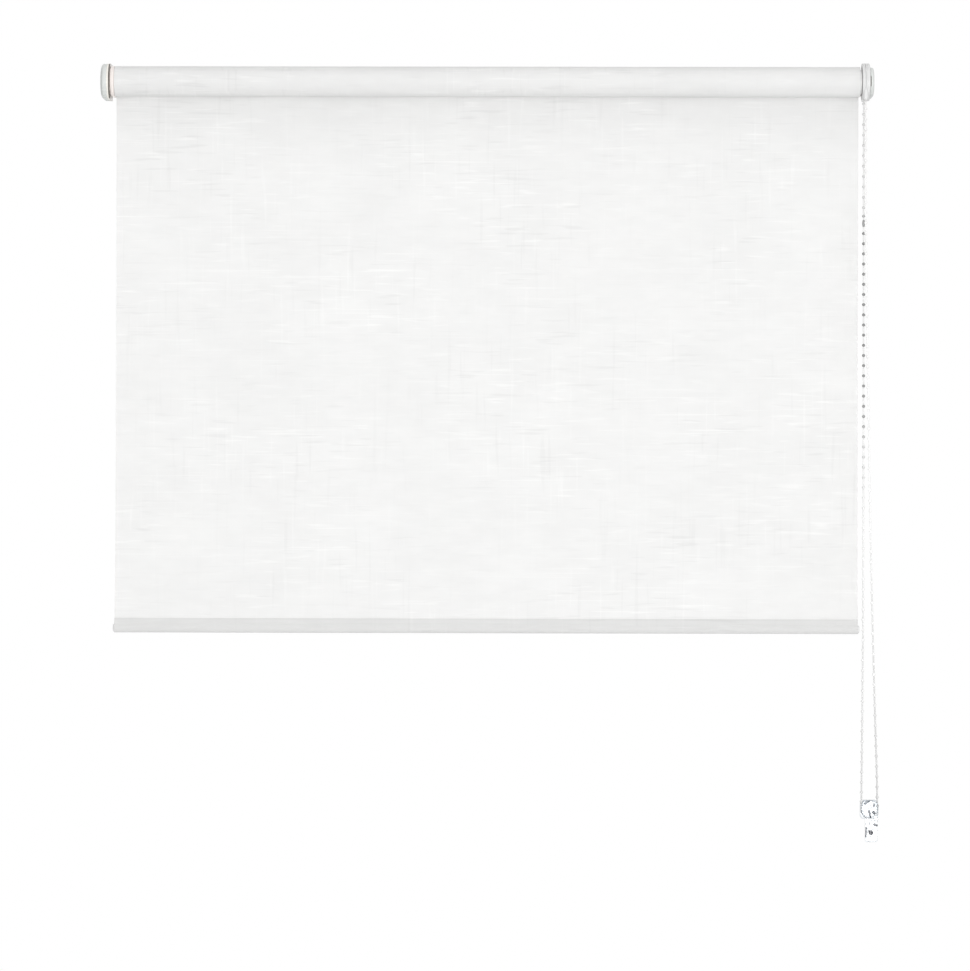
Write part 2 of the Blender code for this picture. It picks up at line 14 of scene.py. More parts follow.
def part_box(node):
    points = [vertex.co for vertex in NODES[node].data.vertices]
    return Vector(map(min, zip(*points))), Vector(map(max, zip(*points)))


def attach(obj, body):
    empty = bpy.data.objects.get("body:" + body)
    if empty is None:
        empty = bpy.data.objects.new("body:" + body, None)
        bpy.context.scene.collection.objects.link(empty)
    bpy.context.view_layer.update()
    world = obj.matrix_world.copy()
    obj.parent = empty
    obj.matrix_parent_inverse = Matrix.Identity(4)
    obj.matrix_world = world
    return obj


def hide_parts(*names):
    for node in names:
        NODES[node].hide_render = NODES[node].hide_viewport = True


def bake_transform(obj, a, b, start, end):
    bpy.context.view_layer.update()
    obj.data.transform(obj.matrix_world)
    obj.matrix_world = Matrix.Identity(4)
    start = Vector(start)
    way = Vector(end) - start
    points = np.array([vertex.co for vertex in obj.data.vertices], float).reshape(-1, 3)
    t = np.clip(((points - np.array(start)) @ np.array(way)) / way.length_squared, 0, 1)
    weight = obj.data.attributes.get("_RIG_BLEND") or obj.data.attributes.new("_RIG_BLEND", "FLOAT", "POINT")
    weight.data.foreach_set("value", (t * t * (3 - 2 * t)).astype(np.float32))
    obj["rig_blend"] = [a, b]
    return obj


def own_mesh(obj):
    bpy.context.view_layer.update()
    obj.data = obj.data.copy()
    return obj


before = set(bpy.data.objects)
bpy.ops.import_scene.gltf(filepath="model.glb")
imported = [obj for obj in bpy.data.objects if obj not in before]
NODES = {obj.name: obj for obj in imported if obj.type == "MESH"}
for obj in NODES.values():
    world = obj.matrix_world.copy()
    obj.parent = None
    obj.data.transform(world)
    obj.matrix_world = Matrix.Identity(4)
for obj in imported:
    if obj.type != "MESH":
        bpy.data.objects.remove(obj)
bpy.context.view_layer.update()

MM = 0.001


# ---- places read from the frame ----
def corners(node):
    """A node's lowest and highest corners in millimetres."""
    low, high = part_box(node)
    return np.array(low) / MM, np.array(high) / MM


roll_low, roll_high = corners("fabric_roll")
AXIS_Y = (roll_low[1] + roll_high[1]) / 2
ROLL_R = (roll_high[2] - roll_low[2]) / 2
CLOTH_HALF = roll_high[0]
drop_low, drop_high = corners("fabric_drop")
CLOTH_THICK = drop_high[1] - drop_low[1]
CLOTH_Y = (drop_low[1] + drop_high[1]) / 2
hem_low, hem_high = corners("hem_pocket")
HEM_BOTTOM, HEM_TOP = hem_low[2], hem_high[2]
bar_low, bar_high = corners("bottom_bar")
BAR_Z = (bar_low[2] + bar_high[2]) / 2
tube_low, tube_high = corners("roller_tube")
TUBE_R = (tube_high[2] - tube_low[2]) / 2
guard_in_low, guard_in_high = corners("chain_guard_inner")
guard_out_low, guard_out_high = corners("chain_guard_outer")
GUARD_R = guard_in_high[2]
joiner_low, joiner_high = corners("chain_connector")
CROWN_RIM_R = corners("clutch_crown")[1][2]
clip_low, clip_high = corners("chain_clip")


# ---- camera ----
CAMERA_AT = (45.9, -5587.6, -514.3)
CAMERA_PAN = -0.486                  # degrees, positive turns towards +X
CAMERA_TILT = 0.268                  # degrees above level
CAMERA_ROLL = 0.124                  # degrees
FIELD_OF_VIEW = 12.048               # degrees across the frame


def put(name, data):
    """A new object in the scene."""
    made = bpy.data.objects.new(name, data)
    bpy.context.scene.collection.objects.link(made)
    return made


def make_camera():
    data = bpy.data.cameras.new("camera")
    data.sensor_fit = "HORIZONTAL"
    data.lens = data.sensor_width / 2 / tan(radians(FIELD_OF_VIEW / 2))
    data.clip_end = 60.0
    camera = put("camera", data)
    aim = (Matrix.Rotation(radians(-CAMERA_PAN), 4, "Z")
           @ Matrix.Rotation(radians(90 + CAMERA_TILT), 4, "X")
           @ Matrix.Rotation(radians(CAMERA_ROLL), 4, "Z"))
    camera.matrix_world = Matrix.Translation(Vector(CAMERA_AT) * MM) @ aim
    bpy.context.scene.camera = camera


# ---- node helpers ----
def set_range(node, *numbers):
    """The lowest and highest value that a Map Range node takes in, then those it gives out."""
    for key, number in zip(("From Min", "From Max", "To Min", "To Max"), numbers):
        node.inputs[key].default_value = number


class Look:
    """A material built from a Principled shader and procedural nodes in object space."""

    def __init__(self, name, colour, roughness, metallic=0.0, **sockets):
        self.material = bpy.data.materials.new(name)
        self.material.use_nodes = True
        self.tree = self.material.node_tree
        self.shader = self.tree.nodes["Principled BSDF"]
        self.output = self.tree.nodes["Material Output"]
        self.shader.inputs["Base Color"].default_value = (*colour, 1.0)
        self.shader.inputs["Roughness"].default_value = roughness
        self.shader.inputs["Metallic"].default_value = metallic
        for socket, value in sockets.items():
            self.shader.inputs[socket.replace("_", " ")].default_value = value
        self.colour = (*colour, 1.0)
        self.space = self.add("ShaderNodeTexCoord").outputs["Object"]

    def add(self, kind, inputs=None, **settings):
        """A node with its settings; each of its inputs gets a value or a link."""
        made = self.tree.nodes.new(kind)
        for key, value in settings.items():
            setattr(made, key, value)
        for key, value in (inputs or {}).items():
            if isinstance(value, bpy.types.NodeSocket):
                self.join(value, made.inputs[key])
            else:
                made.inputs[key].default_value = value
        return made

    def join(self, source, target):
        self.tree.links.new(source, target)

    def stretched(self, scale, turn=(0, 0, 0)):
        """Object coordinates scaled on each axis, in features per metre."""
        return self.add("ShaderNodeMapping", {"Scale": scale, "Rotation": turn,
                                              "Vector": self.space}).outputs["Vector"]

    def noise(self, scale, detail=2.0, rough=0.5, turn=(0, 0, 0)):
        return self.add("ShaderNodeTexNoise", {
            "Scale": 1.0, "Detail": detail, "Roughness": rough,
            "Vector": self.stretched(scale, turn)}).outputs["Fac"]

    def waves(self, axis, pitch, wobble=0.0):
        """Bands across one axis, pitch millimetres apart."""
        return self.add("ShaderNodeTexWave", {
            "Scale": pi / 10 / (pitch * MM), "Distortion": wobble, "Detail": 1.0,
            "Vector": self.space}, wave_type="BANDS", bands_direction=axis).outputs["Fac"]

    def fit(self, value, low, high, to_low=0.0, to_high=1.0):
        made = self.add("ShaderNodeMapRange", {"Value": value})
        set_range(made, low, high, to_low, to_high)
        return made.outputs["Result"]

    def sum(self, *values, operation="ADD"):
        total = values[0]
        for value in values[1:]:
            made = self.add("ShaderNodeMath", {0: total, 1: value}, operation=operation)
            total = made.outputs["Value"]
        return total

    def times(self, value, share):
        return self.sum(value, share, operation="MULTIPLY")

    def shade(self, amount, dark, light):
        """Colour the surface from dark to light by a value from 0 to 1."""
        made = self.add("ShaderNodeMix", {"A": (*dark, 1.0), "B": (*light, 1.0),
                                          "Factor": amount}, data_type="RGBA")
        self.join(made.outputs["Result"], self.shader.inputs["Base Color"])
        return made.outputs["Result"]

    def ramp(self, amount, stops):
        """Grey levels laid along a value from 0 to 1."""
        made = self.add("ShaderNodeValToRGB", {"Fac": amount})
        points = made.color_ramp.elements
        while len(points) < len(stops):
            points.new(0.5)
        for point, (place, grey) in zip(points, stops):
            point.position = place
            point.color = (grey, grey, grey, 1.0)
        return made.outputs["Color"]

    def roughen(self, amount, low, high):
        self.join(self.fit(amount, 0.0, 1.0, low, high), self.shader.inputs["Roughness"])

    def relief(self, height, depth, strength=1.0):
        """Bump of a height from 0 to 1, depth millimetres deep."""
        made = self.add("ShaderNodeBump", {"Strength": strength, "Distance": depth * MM,
                                           "Height": height})
        self.join(made.outputs["Normal"], self.shader.inputs["Normal"])
        return made.outputs["Normal"]


def scaled(colour, share):
    return tuple(min(1.0, c * share) for c in colour)


# ---- materials ----
def cloth_look(name, colour, through):
    """Plain linen weave with thick and thin slubs both ways; part of the light goes through."""
    look = Look(name, colour, 0.85, Sheen_Weight=0.15, Sheen_Roughness=0.5)

    def slubs(scale, low, high, turn=(0, 0, 0)):
        return look.fit(look.noise(scale, 1.0, 0.4, turn), low, high, 0.0, 1.0)

    weave = look.sum(look.waves("X", 0.62, 0.8), look.waves("Z", 0.62, 0.8),
                     operation="MULTIPLY")
    patches = look.fit(look.noise((7, 7, 9), 1.0, 0.5, (0, 0.5, 0)), 0.38, 0.62, 0.35, 1.25)
    thick = look.sum(slubs((26, 60, 300), 0.62, 0.74),
                     look.times(slubs((7, 60, 420), 0.66, 0.76), 0.9),
                     look.times(slubs((240, 60, 13), 0.63, 0.76), 0.55))
    thin = look.sum(slubs((24, 60, 280), 0.38, 0.27, (0, 0, 0.2)),
                    look.times(slubs((210, 60, 12), 0.37, 0.26), 0.6))
    drift = look.fit(look.noise((34, 34, 90), 2.0, 0.5), 0.3, 0.7, -0.09, 0.09)
    clouds = look.fit(look.noise((9, 9, 12), 2.0, 0.5), 0.3, 0.7, 0.42, 0.58)
    marks = look.sum(look.times(thick, 0.30),
                     look.times(thin, -0.30))
    tone = look.sum(look.times(marks, patches), drift, clouds)
    light = look.shade(tone, scaled(colour, 0.93), scaled(colour, 1.07))
    height = look.sum(look.times(weave, 0.25),
                      look.times(thick, 0.5))
    bumped = look.relief(height, 0.12, 0.5)
    glow = look.add("ShaderNodeBsdfTranslucent", {"Color": light, "Normal": bumped})
    mixed = look.add("ShaderNodeMixShader", {"Fac": through, 1: look.shader.outputs["BSDF"],
                                             2: glow.outputs["BSDF"]})
    look.join(mixed.outputs["Shader"], look.output.inputs["Surface"])
    return look.material


def moulded_look(name, colour, roughness, speckle=0.03, coat=0.0, relief=0.02):
    """Injection-moulded plastic: fine spark texture and faint flow marks."""
    look = Look(name, colour, roughness, Coat_Weight=coat, Coat_Roughness=0.2)
    grain = look.noise((900, 900, 900), 2.0, 0.6)
    flow = look.noise((60, 25, 25), 3.0, 0.5)
    tone = look.sum(look.times(grain, 0.4),
                    look.times(flow, 0.6))
    look.shade(look.fit(tone, 0.3, 0.7), scaled(colour, 1 - speckle),
               scaled(colour, 1 + speckle))
    look.roughen(look.fit(flow, 0.3, 0.7), roughness * 0.8, roughness * 1.25)
    look.relief(grain, relief, 0.35)
    return look.material


def metal_look(name, colour, roughness, brushed=(1, 1, 1), metallic=1.0, spangle=0.0):
    """Metal with drawing or turning marks along one axis, and zinc spangle where wanted."""
    look = Look(name, colour, roughness, metallic)
    lines = look.noise(tuple(400 * b for b in brushed), 3.0, 0.6)
    stain = look.noise((70, 70, 70), 3.0, 0.6)
    if spangle:
        cells = look.add("ShaderNodeTexVoronoi", {"Scale": 1.0,
                                                  "Vector": look.stretched((330, 330, 330))})
        value = look.add("ShaderNodeSeparateColor", {"Color": cells.outputs["Color"]})
        pattern, share = value.outputs["Red"], spangle
    else:
        pattern, share = lines, 0.6
    tone = look.sum(look.times(pattern, share), look.times(stain, 1 - share))
    look.shade(look.fit(tone, 0.25, 0.75), scaled(colour, 0.82), scaled(colour, 1.15))
    look.roughen(look.fit(lines, 0.3, 0.7), roughness * 0.75, roughness * 1.3)
    look.relief(lines, 0.01, 0.3)
    return look.material


def clear_look(name, colour, roughness):
    """Clear polycarbonate with a faint haze that thickens along flow marks."""
    look = Look(name, colour, roughness, Transmission_Weight=1.0, IOR=1.55)
    haze = look.noise((120, 120, 60), 3.0, 0.6)
    look.shade(look.fit(haze, 0.3, 0.7), scaled(colour, 0.93), colour)
    look.roughen(look.fit(haze, 0.35, 0.7), roughness * 0.6, roughness * 2.0)
    look.relief(look.noise((300, 300, 300), 2.0, 0.5), 0.02, 0.2)
    return look.material


def chain_look(name, shaded_back_stops, lit_front_stops):
    """Pale plastic with grey levels laid down each strand and blotchy grime; the back strand is painted
    darker, as shade behind the front strand.
    """
    look = Look(name, (0.7, 0.7, 0.7), 0.28)
    grime = look.noise((260, 260, 260), 2.0, 0.5)
    place = look.add("ShaderNodeSeparateXYZ", {"Vector": look.space})
    depth = look.fit(place.outputs["Z"], 0.0, -0.9)
    near = look.fit(place.outputs["X"], 0.4640, 0.4670)
    low = look.fit(place.outputs["Z"], -0.560, -0.600)
    # painted shade: the back strand takes the darker grey stops; the front strand and the low run by the
    # clip take the lighter ones
    front = look.sum(look.fit(place.outputs["Y"], -0.0130, -0.0185),
                     look.times(near, low), operation="MAXIMUM")
    lit_and_shaded_strands = look.add("ShaderNodeMix", {
        "Factor": front, "A": look.ramp(depth, shaded_back_stops), "B": look.ramp(depth, lit_front_stops)},
        data_type="RGBA")
    shade = look.add("ShaderNodeMix", {
        "Factor": look.fit(grime, 0.35, 0.65, 0.35, 0.0), "A": lit_and_shaded_strands.outputs["Result"],
        "B": (0.8, 0.79, 0.77, 1.0)}, data_type="RGBA", blend_type="MULTIPLY")
    look.join(shade.outputs["Result"], look.shader.inputs["Base Color"])
    look.roughen(grime, 0.22, 0.4)
    return look.material


CLOTH = cloth_look("linen_cloth", (0.83, 0.83, 0.825), 0.22)
# the hem's linen is a darker copy of the cloth: painted shade from the bar and the folded layers inside it
HEM_CLOTH_PAINTED_SHADE = cloth_look("linen_hem_painted_shade", (0.655, 0.655, 0.65), 0.08)
COVER = moulded_look("cover_plastic_look", (0.61, 0.63, 0.615), 0.42, 0.012)
# the lip is a lighter copy of the cover plastic: a painted highlight where its rim catches the light
LIP_PAINTED_HIGHLIGHT = moulded_look("cover_lip_painted_highlight", (0.80, 0.775, 0.72), 0.35, 0.01)
GUARD = moulded_look("guard_plastic", (0.655, 0.657, 0.655), 0.38, 0.012)
IVORY = moulded_look("ivory_plastic_look", (0.77, 0.715, 0.685), 0.45, 0.015)
DARK = moulded_look("grey_plastic_look", (0.12, 0.12, 0.12), 0.28, 0.06)
CROWN = moulded_look("crown_plastic", (0.86, 0.86, 0.85), 0.32, 0.03)
WHITE = moulded_look("white_plastic_look", (0.78, 0.79, 0.78), 0.4, 0.012)
CAP = moulded_look("cap_plastic_look", (0.72, 0.72, 0.72), 0.45, 0.012)
# grey stops down each strand: the back strand's are darker, a painted shade behind the front strand
BEADS = chain_look("bead_plastic",
                   [(0.0, 0.66), (0.172, 0.62), (0.176, 0.42), (0.200, 0.20), (0.44, 0.30),
                    (0.50, 0.64), (0.60, 0.90), (0.69, 0.86), (0.95, 0.70)],
                   [(0.0, 0.74), (0.17, 0.86), (0.80, 0.88), (0.88, 0.66), (1.0, 0.62)])
CORD = chain_look("cord_plastic", [(0.0, 0.78), (0.2, 0.78), (0.5, 0.80), (0.65, 0.78),
                                   (1.0, 0.60)],
                  [(0.0, 0.78), (0.17, 0.86), (0.60, 0.84), (0.75, 0.66), (1.0, 0.58)])
JOINER = moulded_look("joiner_plastic", (0.30, 0.30, 0.30), 0.3, 0.05)
# the greyer and darker clear plastics are painted shade, standing in for the dark refracted edges of the
# clear clip
CLEAR = clear_look("clear_clip_plastic", (0.92, 0.95, 0.97), 0.04)
CLEAR_RIM_PAINTED_SHADE = clear_look("clear_clip_rim_painted_shade", (0.62, 0.65, 0.69), 0.06)
CLEAR_EDGE_PAINTED_SHADE = clear_look("clear_clip_edge_painted_shade", (0.17, 0.185, 0.21), 0.08)
CLEAR_PAINTED_DARK = clear_look("clear_clip_painted_dark", (0.03, 0.033, 0.04), 0.15)
ZINC = metal_look("zinc_bracket_steel", (0.66, 0.64, 0.62), 0.40, metallic=0.75, spangle=0.5)
# the raw steel edge is painted near-black: the shade in the groove between the cover and the end plug
CUT_EDGE_PAINTED_SHADE = metal_look("cut_steel_edge_painted_shade", (0.13, 0.115, 0.10), 0.5, metallic=0.6)
SCREW = metal_look("screw_steel_look", (0.22, 0.22, 0.235), 0.34, (0.4, 0.4, 3))
# near-black painted shade for the faces of the screws' cross recess
RECESS_PAINTED_SHADE = metal_look("screw_recess_painted_shade", (0.015, 0.015, 0.015), 0.6, metallic=0.3)
SPRING = metal_look("spring_steel_look", (0.42, 0.42, 0.45), 0.3, (3, 0.4, 0.4))
ALUMINIUM = metal_look("drawn_aluminium", (0.72, 0.73, 0.75), 0.38, (0.05, 2, 2))


# ---- mesh helpers ----
def solid(name, points, faces, *looks, marks=None, crease=35.0):
    """A mesh object from points in millimetres; marks gives each face's material."""
    mesh = bpy.data.meshes.new(name)
    mesh.from_pydata([tuple(p) for p in np.asarray(points, float) * MM], [], faces)
    for look in looks:
        mesh.materials.append(look)
    if marks is not None:
        mesh.polygons.foreach_set("material_index", np.asarray(marks, np.int32))
    bm = bmesh.new()
    bm.from_mesh(mesh)
    bmesh.ops.recalc_face_normals(bm, faces=bm.faces)
    bm.to_mesh(mesh)
    bm.free()
    mesh.shade_smooth()
    sharpen(mesh, crease)
    return put(name, mesh)


def grid_faces(rows, columns, wrap_rows=False, wrap_columns=False):
    found = []
    for i in range(rows if wrap_rows else rows - 1):
        for j in range(columns if wrap_columns else columns - 1):
            a, b = i * columns + j, i * columns + (j + 1) % columns
            c, d = (((i + 1) % rows) * columns + (j + 1) % columns,
                    ((i + 1) % rows) * columns + j)
            found.append((a, b, c, d))
    return found


def cloth_solid(name, grid, thick, look):
    """A closed thin sheet about a grid of centre points, rows by columns."""
    rows, columns = grid.shape[:2]
    normal = np.cross(np.gradient(grid, axis=0), np.gradient(grid, axis=1))
    normal /= np.linalg.norm(normal, axis=2, keepdims=True)
    front, back = grid + normal * thick / 2, grid - normal * thick / 2
    points = np.concatenate([front.reshape(-1, 3), back.reshape(-1, 3)])
    skin = grid_faces(rows, columns)
    shift = rows * columns
    faces = skin + [tuple(reversed([v + shift for v in f])) for f in skin]
    rim = (list(range(columns)) + [i * columns + columns - 1 for i in range(1, rows)]
           + [(rows - 1) * columns + j for j in range(columns - 2, -1, -1)]
           + [i * columns for i in range(rows - 2, 0, -1)])
    for a, b in zip(rim, rim[1:] + rim[:1]):
        faces.append((a, a + shift, b + shift, b))
    return solid(name, points, faces, look, crease=60.0)


def rounded(profile, radii, steps=4):
    """A polyline profile with its corners rounded; radii has one number for each corner."""
    found = []
    count = len(profile)
    for k, corner in enumerate(profile):
        corner = np.array(corner, float)
        before, after = (np.array(profile[(k + s) % count], float) - corner for s in (-1, 1))
        reach = min(radii[k], np.linalg.norm(before) * 0.45, np.linalg.norm(after) * 0.45)
        if reach <= 0:
            found.append(tuple(corner))
            continue
        start = corner + before / np.linalg.norm(before) * reach
        end = corner + after / np.linalg.norm(after) * reach
        for n in range(steps + 1):
            t = n / steps
            found.append(tuple((1 - t) ** 2 * start + 2 * t * (1 - t) * corner + t * t * end))
    return found


def turned(name, profile, look, steps=96, centre=(0, None, 0), along="X", crease=35.0):
    """A solid of revolution. profile is a closed loop of (along, radius); radius 0 closes it."""
    centre = (centre[0], AXIS_Y if centre[1] is None else centre[1], centre[2])
    points, faces, rows = [], [], []
    for position, radius in profile:
        if radius < 1e-6:
            rows.append([len(points)] * steps)
            points.append((position, 0.0, 0.0))
            continue
        rows.append(list(range(len(points), len(points) + steps)))
        for k in range(steps):
            a = 2 * pi * k / steps
            points.append((position, radius * cos(a), radius * sin(a)))
    ends = list(zip(rows, rows[1:])) + ([(rows[-1], rows[0])] if profile[0][1] > 1e-6 else [])
    for lower, upper in ends:
        for k in range(steps):
            n = (k + 1) % steps
            corner = tuple(dict.fromkeys((lower[k], lower[n], upper[n], upper[k])))
            if len(corner) > 2:
                faces.append(corner)
    points = np.array(points)
    if along == "Y":
        points = points[:, [1, 0, 2]]
    if along == "Z":
        points = points[:, [1, 2, 0]]
    return solid(name, points + np.array(centre), faces, look, crease=crease)


def boolean(piece, tool, operation):
    """Apply a boolean and drop the tool."""
    change = piece.modifiers.new(operation.lower(), "BOOLEAN")
    change.operation = operation
    change.material_mode = "TRANSFER"
    change.object = tool
    depsgraph = bpy.context.evaluated_depsgraph_get()
    mesh = bpy.data.meshes.new_from_object(piece.evaluated_get(depsgraph))
    piece.modifiers.clear()
    piece.data = mesh
    bpy.data.objects.remove(tool, do_unlink=True)


def stand_in(piece, slot, body, *nodes):
    """Show a piece in place of CAD nodes, on their body; the slot argument is not used."""
    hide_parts(*nodes)
    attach(piece, body)


def block(low, high, look=None):
    """A plain box, used only to cut or join other pieces."""
    low, high = np.array(low, float), np.array(high, float)
    points = [(x, y, z) for x in (low[0], high[0]) for y in (low[1], high[1])
              for z in (low[2], high[2])]
    faces = [(0, 1, 3, 2), (4, 6, 7, 5), (0, 4, 5, 1), (2, 3, 7, 6), (0, 2, 6, 4), (1, 5, 7, 3)]
    return solid("tool", points, faces, *([look] if look else []))


def round_trip(steps):
    """Angles once round a circle."""
    return [2 * pi * k / steps for k in range(steps)]


def sharpen(mesh, degrees):
    mesh.set_sharp_from_angle(angle=radians(degrees))


def arc(centre, radius, start, end, count):
    found = []
    for k in range(count + 1):
        a = radians(start + (end - start) * k / count)
        found.append((centre[0] + radius * cos(a), centre[1] + radius * sin(a)))
    return found


def stacked(name, rings, look, marks=(), crease=35.0, close=True):
    """Skin over rings of points; the first and last ring are capped with a fan."""
    count = len(rings[0])
    points = [p for ring in rings for p in ring]
    faces = grid_faces(len(rings), count, wrap_columns=True)
    if close:
        for ring, start in ((rings[0], 0), (rings[-1], (len(rings) - 1) * count)):
            middle = len(points)
            points.append(tuple(np.mean(ring, axis=0)))
            for k in range(count):
                faces.append((start + k, start + (k + 1) % count, middle))
    looks = look if isinstance(look, (list, tuple)) else [look]
    index = None
    if marks:
        index = np.zeros(len(faces), np.int32)
        for row in marks:
            index[row * count:(row + 1) * count] = 1
    return solid(name, points, faces, *looks, marks=index, crease=crease)


# ---- cloth ----
COLUMNS = 151
LAYER = 0.55                         # spacing of the wound layers
WRAP_END = 352.0                     # degrees of the outer layer before it tucks under itself
WANDER = 0.8                         # how far the outer turn has wandered towards +X


def uneven(x, z, size, seed):
    """Smooth noise from -1 to 1 over a length size in millimetres."""
    return noise.noise(Vector((x / size[0], z / size[1], seed)))


def cloth_centreline():
    """The outer turn about the roller, then the drop: lists of (y, z) and of blend shares."""
    outer = ROLL_R - CLOTH_THICK / 2
    line, share = [], []
    turn_steps = 84
    for k in range(turn_steps, 0, -1):
        angle = WRAP_END * k / turn_steps
        radius = outer - LAYER * angle / 360
        a = radians(angle)
        line.append((AXIS_Y + radius * cos(a), radius * sin(a)))
        share.append(0.0)
    drop_steps = 108
    lowest = HEM_TOP - 1.2
    for k in range(drop_steps + 1):
        t = k / drop_steps
        ease = t * t * (3 - 2 * t)
        y = (AXIS_Y + outer) * (1 - ease) + CLOTH_Y * ease
        line.append((y, lowest * t))
        share.append(min(1.0, lowest * t / HEM_TOP))
    return line, share


def edge_shift(x, t):
    """How far the cut edge draws in between the roller and the hem, and spreads at the hem."""
    side = -1 if x < 0 else 1
    depth = 0.9 if side < 0 else 0.4
    draw = depth * sin(pi * min(1.0, max(0.0, t))) ** 0.7
    flare = 0.7 * max(0.0, (t - 0.955) / 0.045) ** 1.5
    if side > 0:
        spread = 0.6 * min(1.0, t / 0.03) + WANDER * max(0.0, 1 - t / 0.03)
    else:
        # with the blind raised, the first part of the drop lies beside the end plug's collar
        spread = 0.2 * min(1.0, t / 0.03) + 0.4 * min(1.0, max(0.0, (t - 0.1) / 0.3))
    return side * (spread + flare - draw) * (abs(x) / CLOTH_HALF) ** 3


def cloth_panel():
    line, share = cloth_centreline()
    grid = np.zeros((len(line), COLUMNS, 3))
    for i, (y, z) in enumerate(line):
        t = share[i]
        free = sin(pi * t) ** 0.6 if 0 < t < 1 else 0.0
        for j, x in enumerate(np.linspace(-CLOTH_HALF, CLOTH_HALF, COLUMNS)):
            if t <= 0:
                bulge = 1 + 0.10 * uneven(x, 14 * i, (55, 120), 3.0) / ROLL_R
                aside = WANDER * max(0.0, x / CLOTH_HALF) ** 4
                grid[i, j] = (x + aside, AXIS_Y + (y - AXIS_Y) * bulge, z * bulge)
                continue
            curl = 0.9 * exp(-(CLOTH_HALF - abs(x)) / 8.0)
            wave = (1.3 * uneven(x, z, (240, 900), 1.0) + 0.5 * uneven(x, z, (90, 420), 2.0)
                    + 0.22 * uneven(x, z, (38, 60), 5.0))
            grid[i, j] = (x + edge_shift(x, t), y + free * (wave - curl), z)
    panel = cloth_solid("cloth_panel", grid, CLOTH_THICK, CLOTH)
    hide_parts("fabric_drop")
    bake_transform(panel, "frame", "hem", start=(0, CLOTH_Y * MM, 0), end=(0, CLOTH_Y * MM, HEM_TOP * MM))
    # the drop pays out evenly along its length, so the shares are even and not eased
    shares = np.repeat(np.array(share), COLUMNS)
    weights = panel.data.attributes["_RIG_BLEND"]
    weights.data.foreach_set("value", np.tile(shares, 2).astype(np.float32))
    return panel, length_of(line)


def cloth_winding():
    """The layers wound under the outer turn."""
    outer = ROLL_R - CLOTH_THICK / 2 - LAYER * 2.35
    inner = TUBE_R + 0.35 + CLOTH_THICK / 2
    turns = (outer - inner) / LAYER
    steps = int(turns * 48)
    line = []
    for k in range(steps + 1):
        a = 2 * pi * turns * k / steps
        radius = outer - LAYER * a / (2 * pi)
        line.append((AXIS_Y + radius * cos(a), radius * sin(a)))
    xs = np.linspace(-CLOTH_HALF, CLOTH_HALF, 31)
    grid = np.array([[(x, y, z) for x in xs] for y, z in line])
    winding = cloth_solid("cloth_winding", grid, CLOTH_THICK, CLOTH)
    stand_in(winding, "cloth", "roller", "fabric_roll")
    length_of(line) * MM


def hem_sleeve():
    """The hem pocket: one length of cloth folded round the bar, its two ends welded above it."""
    neck, half_y, half_z = 0.62, 3.35, 5.6
    line = []
    rise = HEM_TOP - (BAR_Z + half_z * 0.80)
    for side in (-1, 1):
        run = []
        for k in range(9):
            t = k / 8
            ease = t * t * (3 - 2 * t)
            start_y = half_y * cos(radians(53))
            run.append((CLOTH_Y + side * (neck + (start_y - neck) * ease),
                        HEM_TOP - rise * t))
        line.append(run)
    below = [(CLOTH_Y + half_y * cos(radians(a)), BAR_Z + half_z * sin(radians(a)))
             for a in np.linspace(127, 413, 34)[1:-1]]
    path = line[0] + below + list(reversed(line[1]))
    grid = np.zeros((len(path), COLUMNS, 3))
    for i, (y, z) in enumerate(path):
        low = (HEM_TOP - z) / (HEM_TOP - HEM_BOTTOM)
        for j, x in enumerate(np.linspace(-CLOTH_HALF, CLOTH_HALF, COLUMNS)):
            side = -1 if x < 0 else 1
            spread = side * (0.9 + 0.5 * low) * (abs(x) / CLOTH_HALF) ** 12
            pucker = 0.16 * uneven(x, 9 * i, (20, 60), 7.0) * min(1.0, low * 3)
            level = 0.12 * uneven(x, 0, (160, 1), 8.0)
            out = 1 if y > CLOTH_Y else -1
            grid[i, j] = (x + spread, y + out * pucker, z + level)
    sleeve = cloth_solid("hem_sleeve", grid, CLOTH_THICK, HEM_CLOTH_PAINTED_SHADE)
    stand_in(sleeve, "cloth", "hem", "hem_pocket")
    length_of(path) * MM


def length_of(line):
    return float(np.linalg.norm(np.diff(np.array(line), axis=0), axis=1).sum())


def make_cloth():
    cloth_winding()
    hem_sleeve()
    panel, length = cloth_panel()


# ---- bead chain ----
BEAD_R, CORD_R, BEAD_PITCH = 1.95, 0.95, 12.0
STRAND_SIDES = 14
CHAIN_X, STRAND_TOP = 457.0, -10.6
CLIP_BEND, CLIP_BEND_R = (465.5, -8.0, -880.0), 9.7
CHAIN_R = BEAD_PITCH / 2 / sin(pi / 9)
BACK_STRAND = [
    (457.0, AXIS_Y + CHAIN_R, 0.0), (457.0, AXIS_Y + CHAIN_R, -30.0), (457.0, -12.3, -100.0),
    (457.1, -12.0, -172.0), (457.3, -11.5, -280.0), (457.5, -10.9, -400.0),
    (457.6, -10.2, -520.0), (457.5, -9.6, -634.0), (456.9, -8.9, -750.0),
    (456.1, -8.2, -840.0), (455.8, -8.0, -880.0),
]
FRONT_STRAND = [
    (475.2, -8.0, -880.0), (474.5, -9.3, -840.0), (471.4, -13.4, -750.0),
    (467.8, -18.6, -634.0), (464.8, -23.8, -520.0), (462.2, -29.3, -400.0),
    (459.6, -34.8, -280.0), (457.8, -40.0, -172.0), (457.0, -43.6, -100.0),
    (456.9, -46.9, -30.0), (457.0, AXIS_Y - CHAIN_R, 0.0),
]


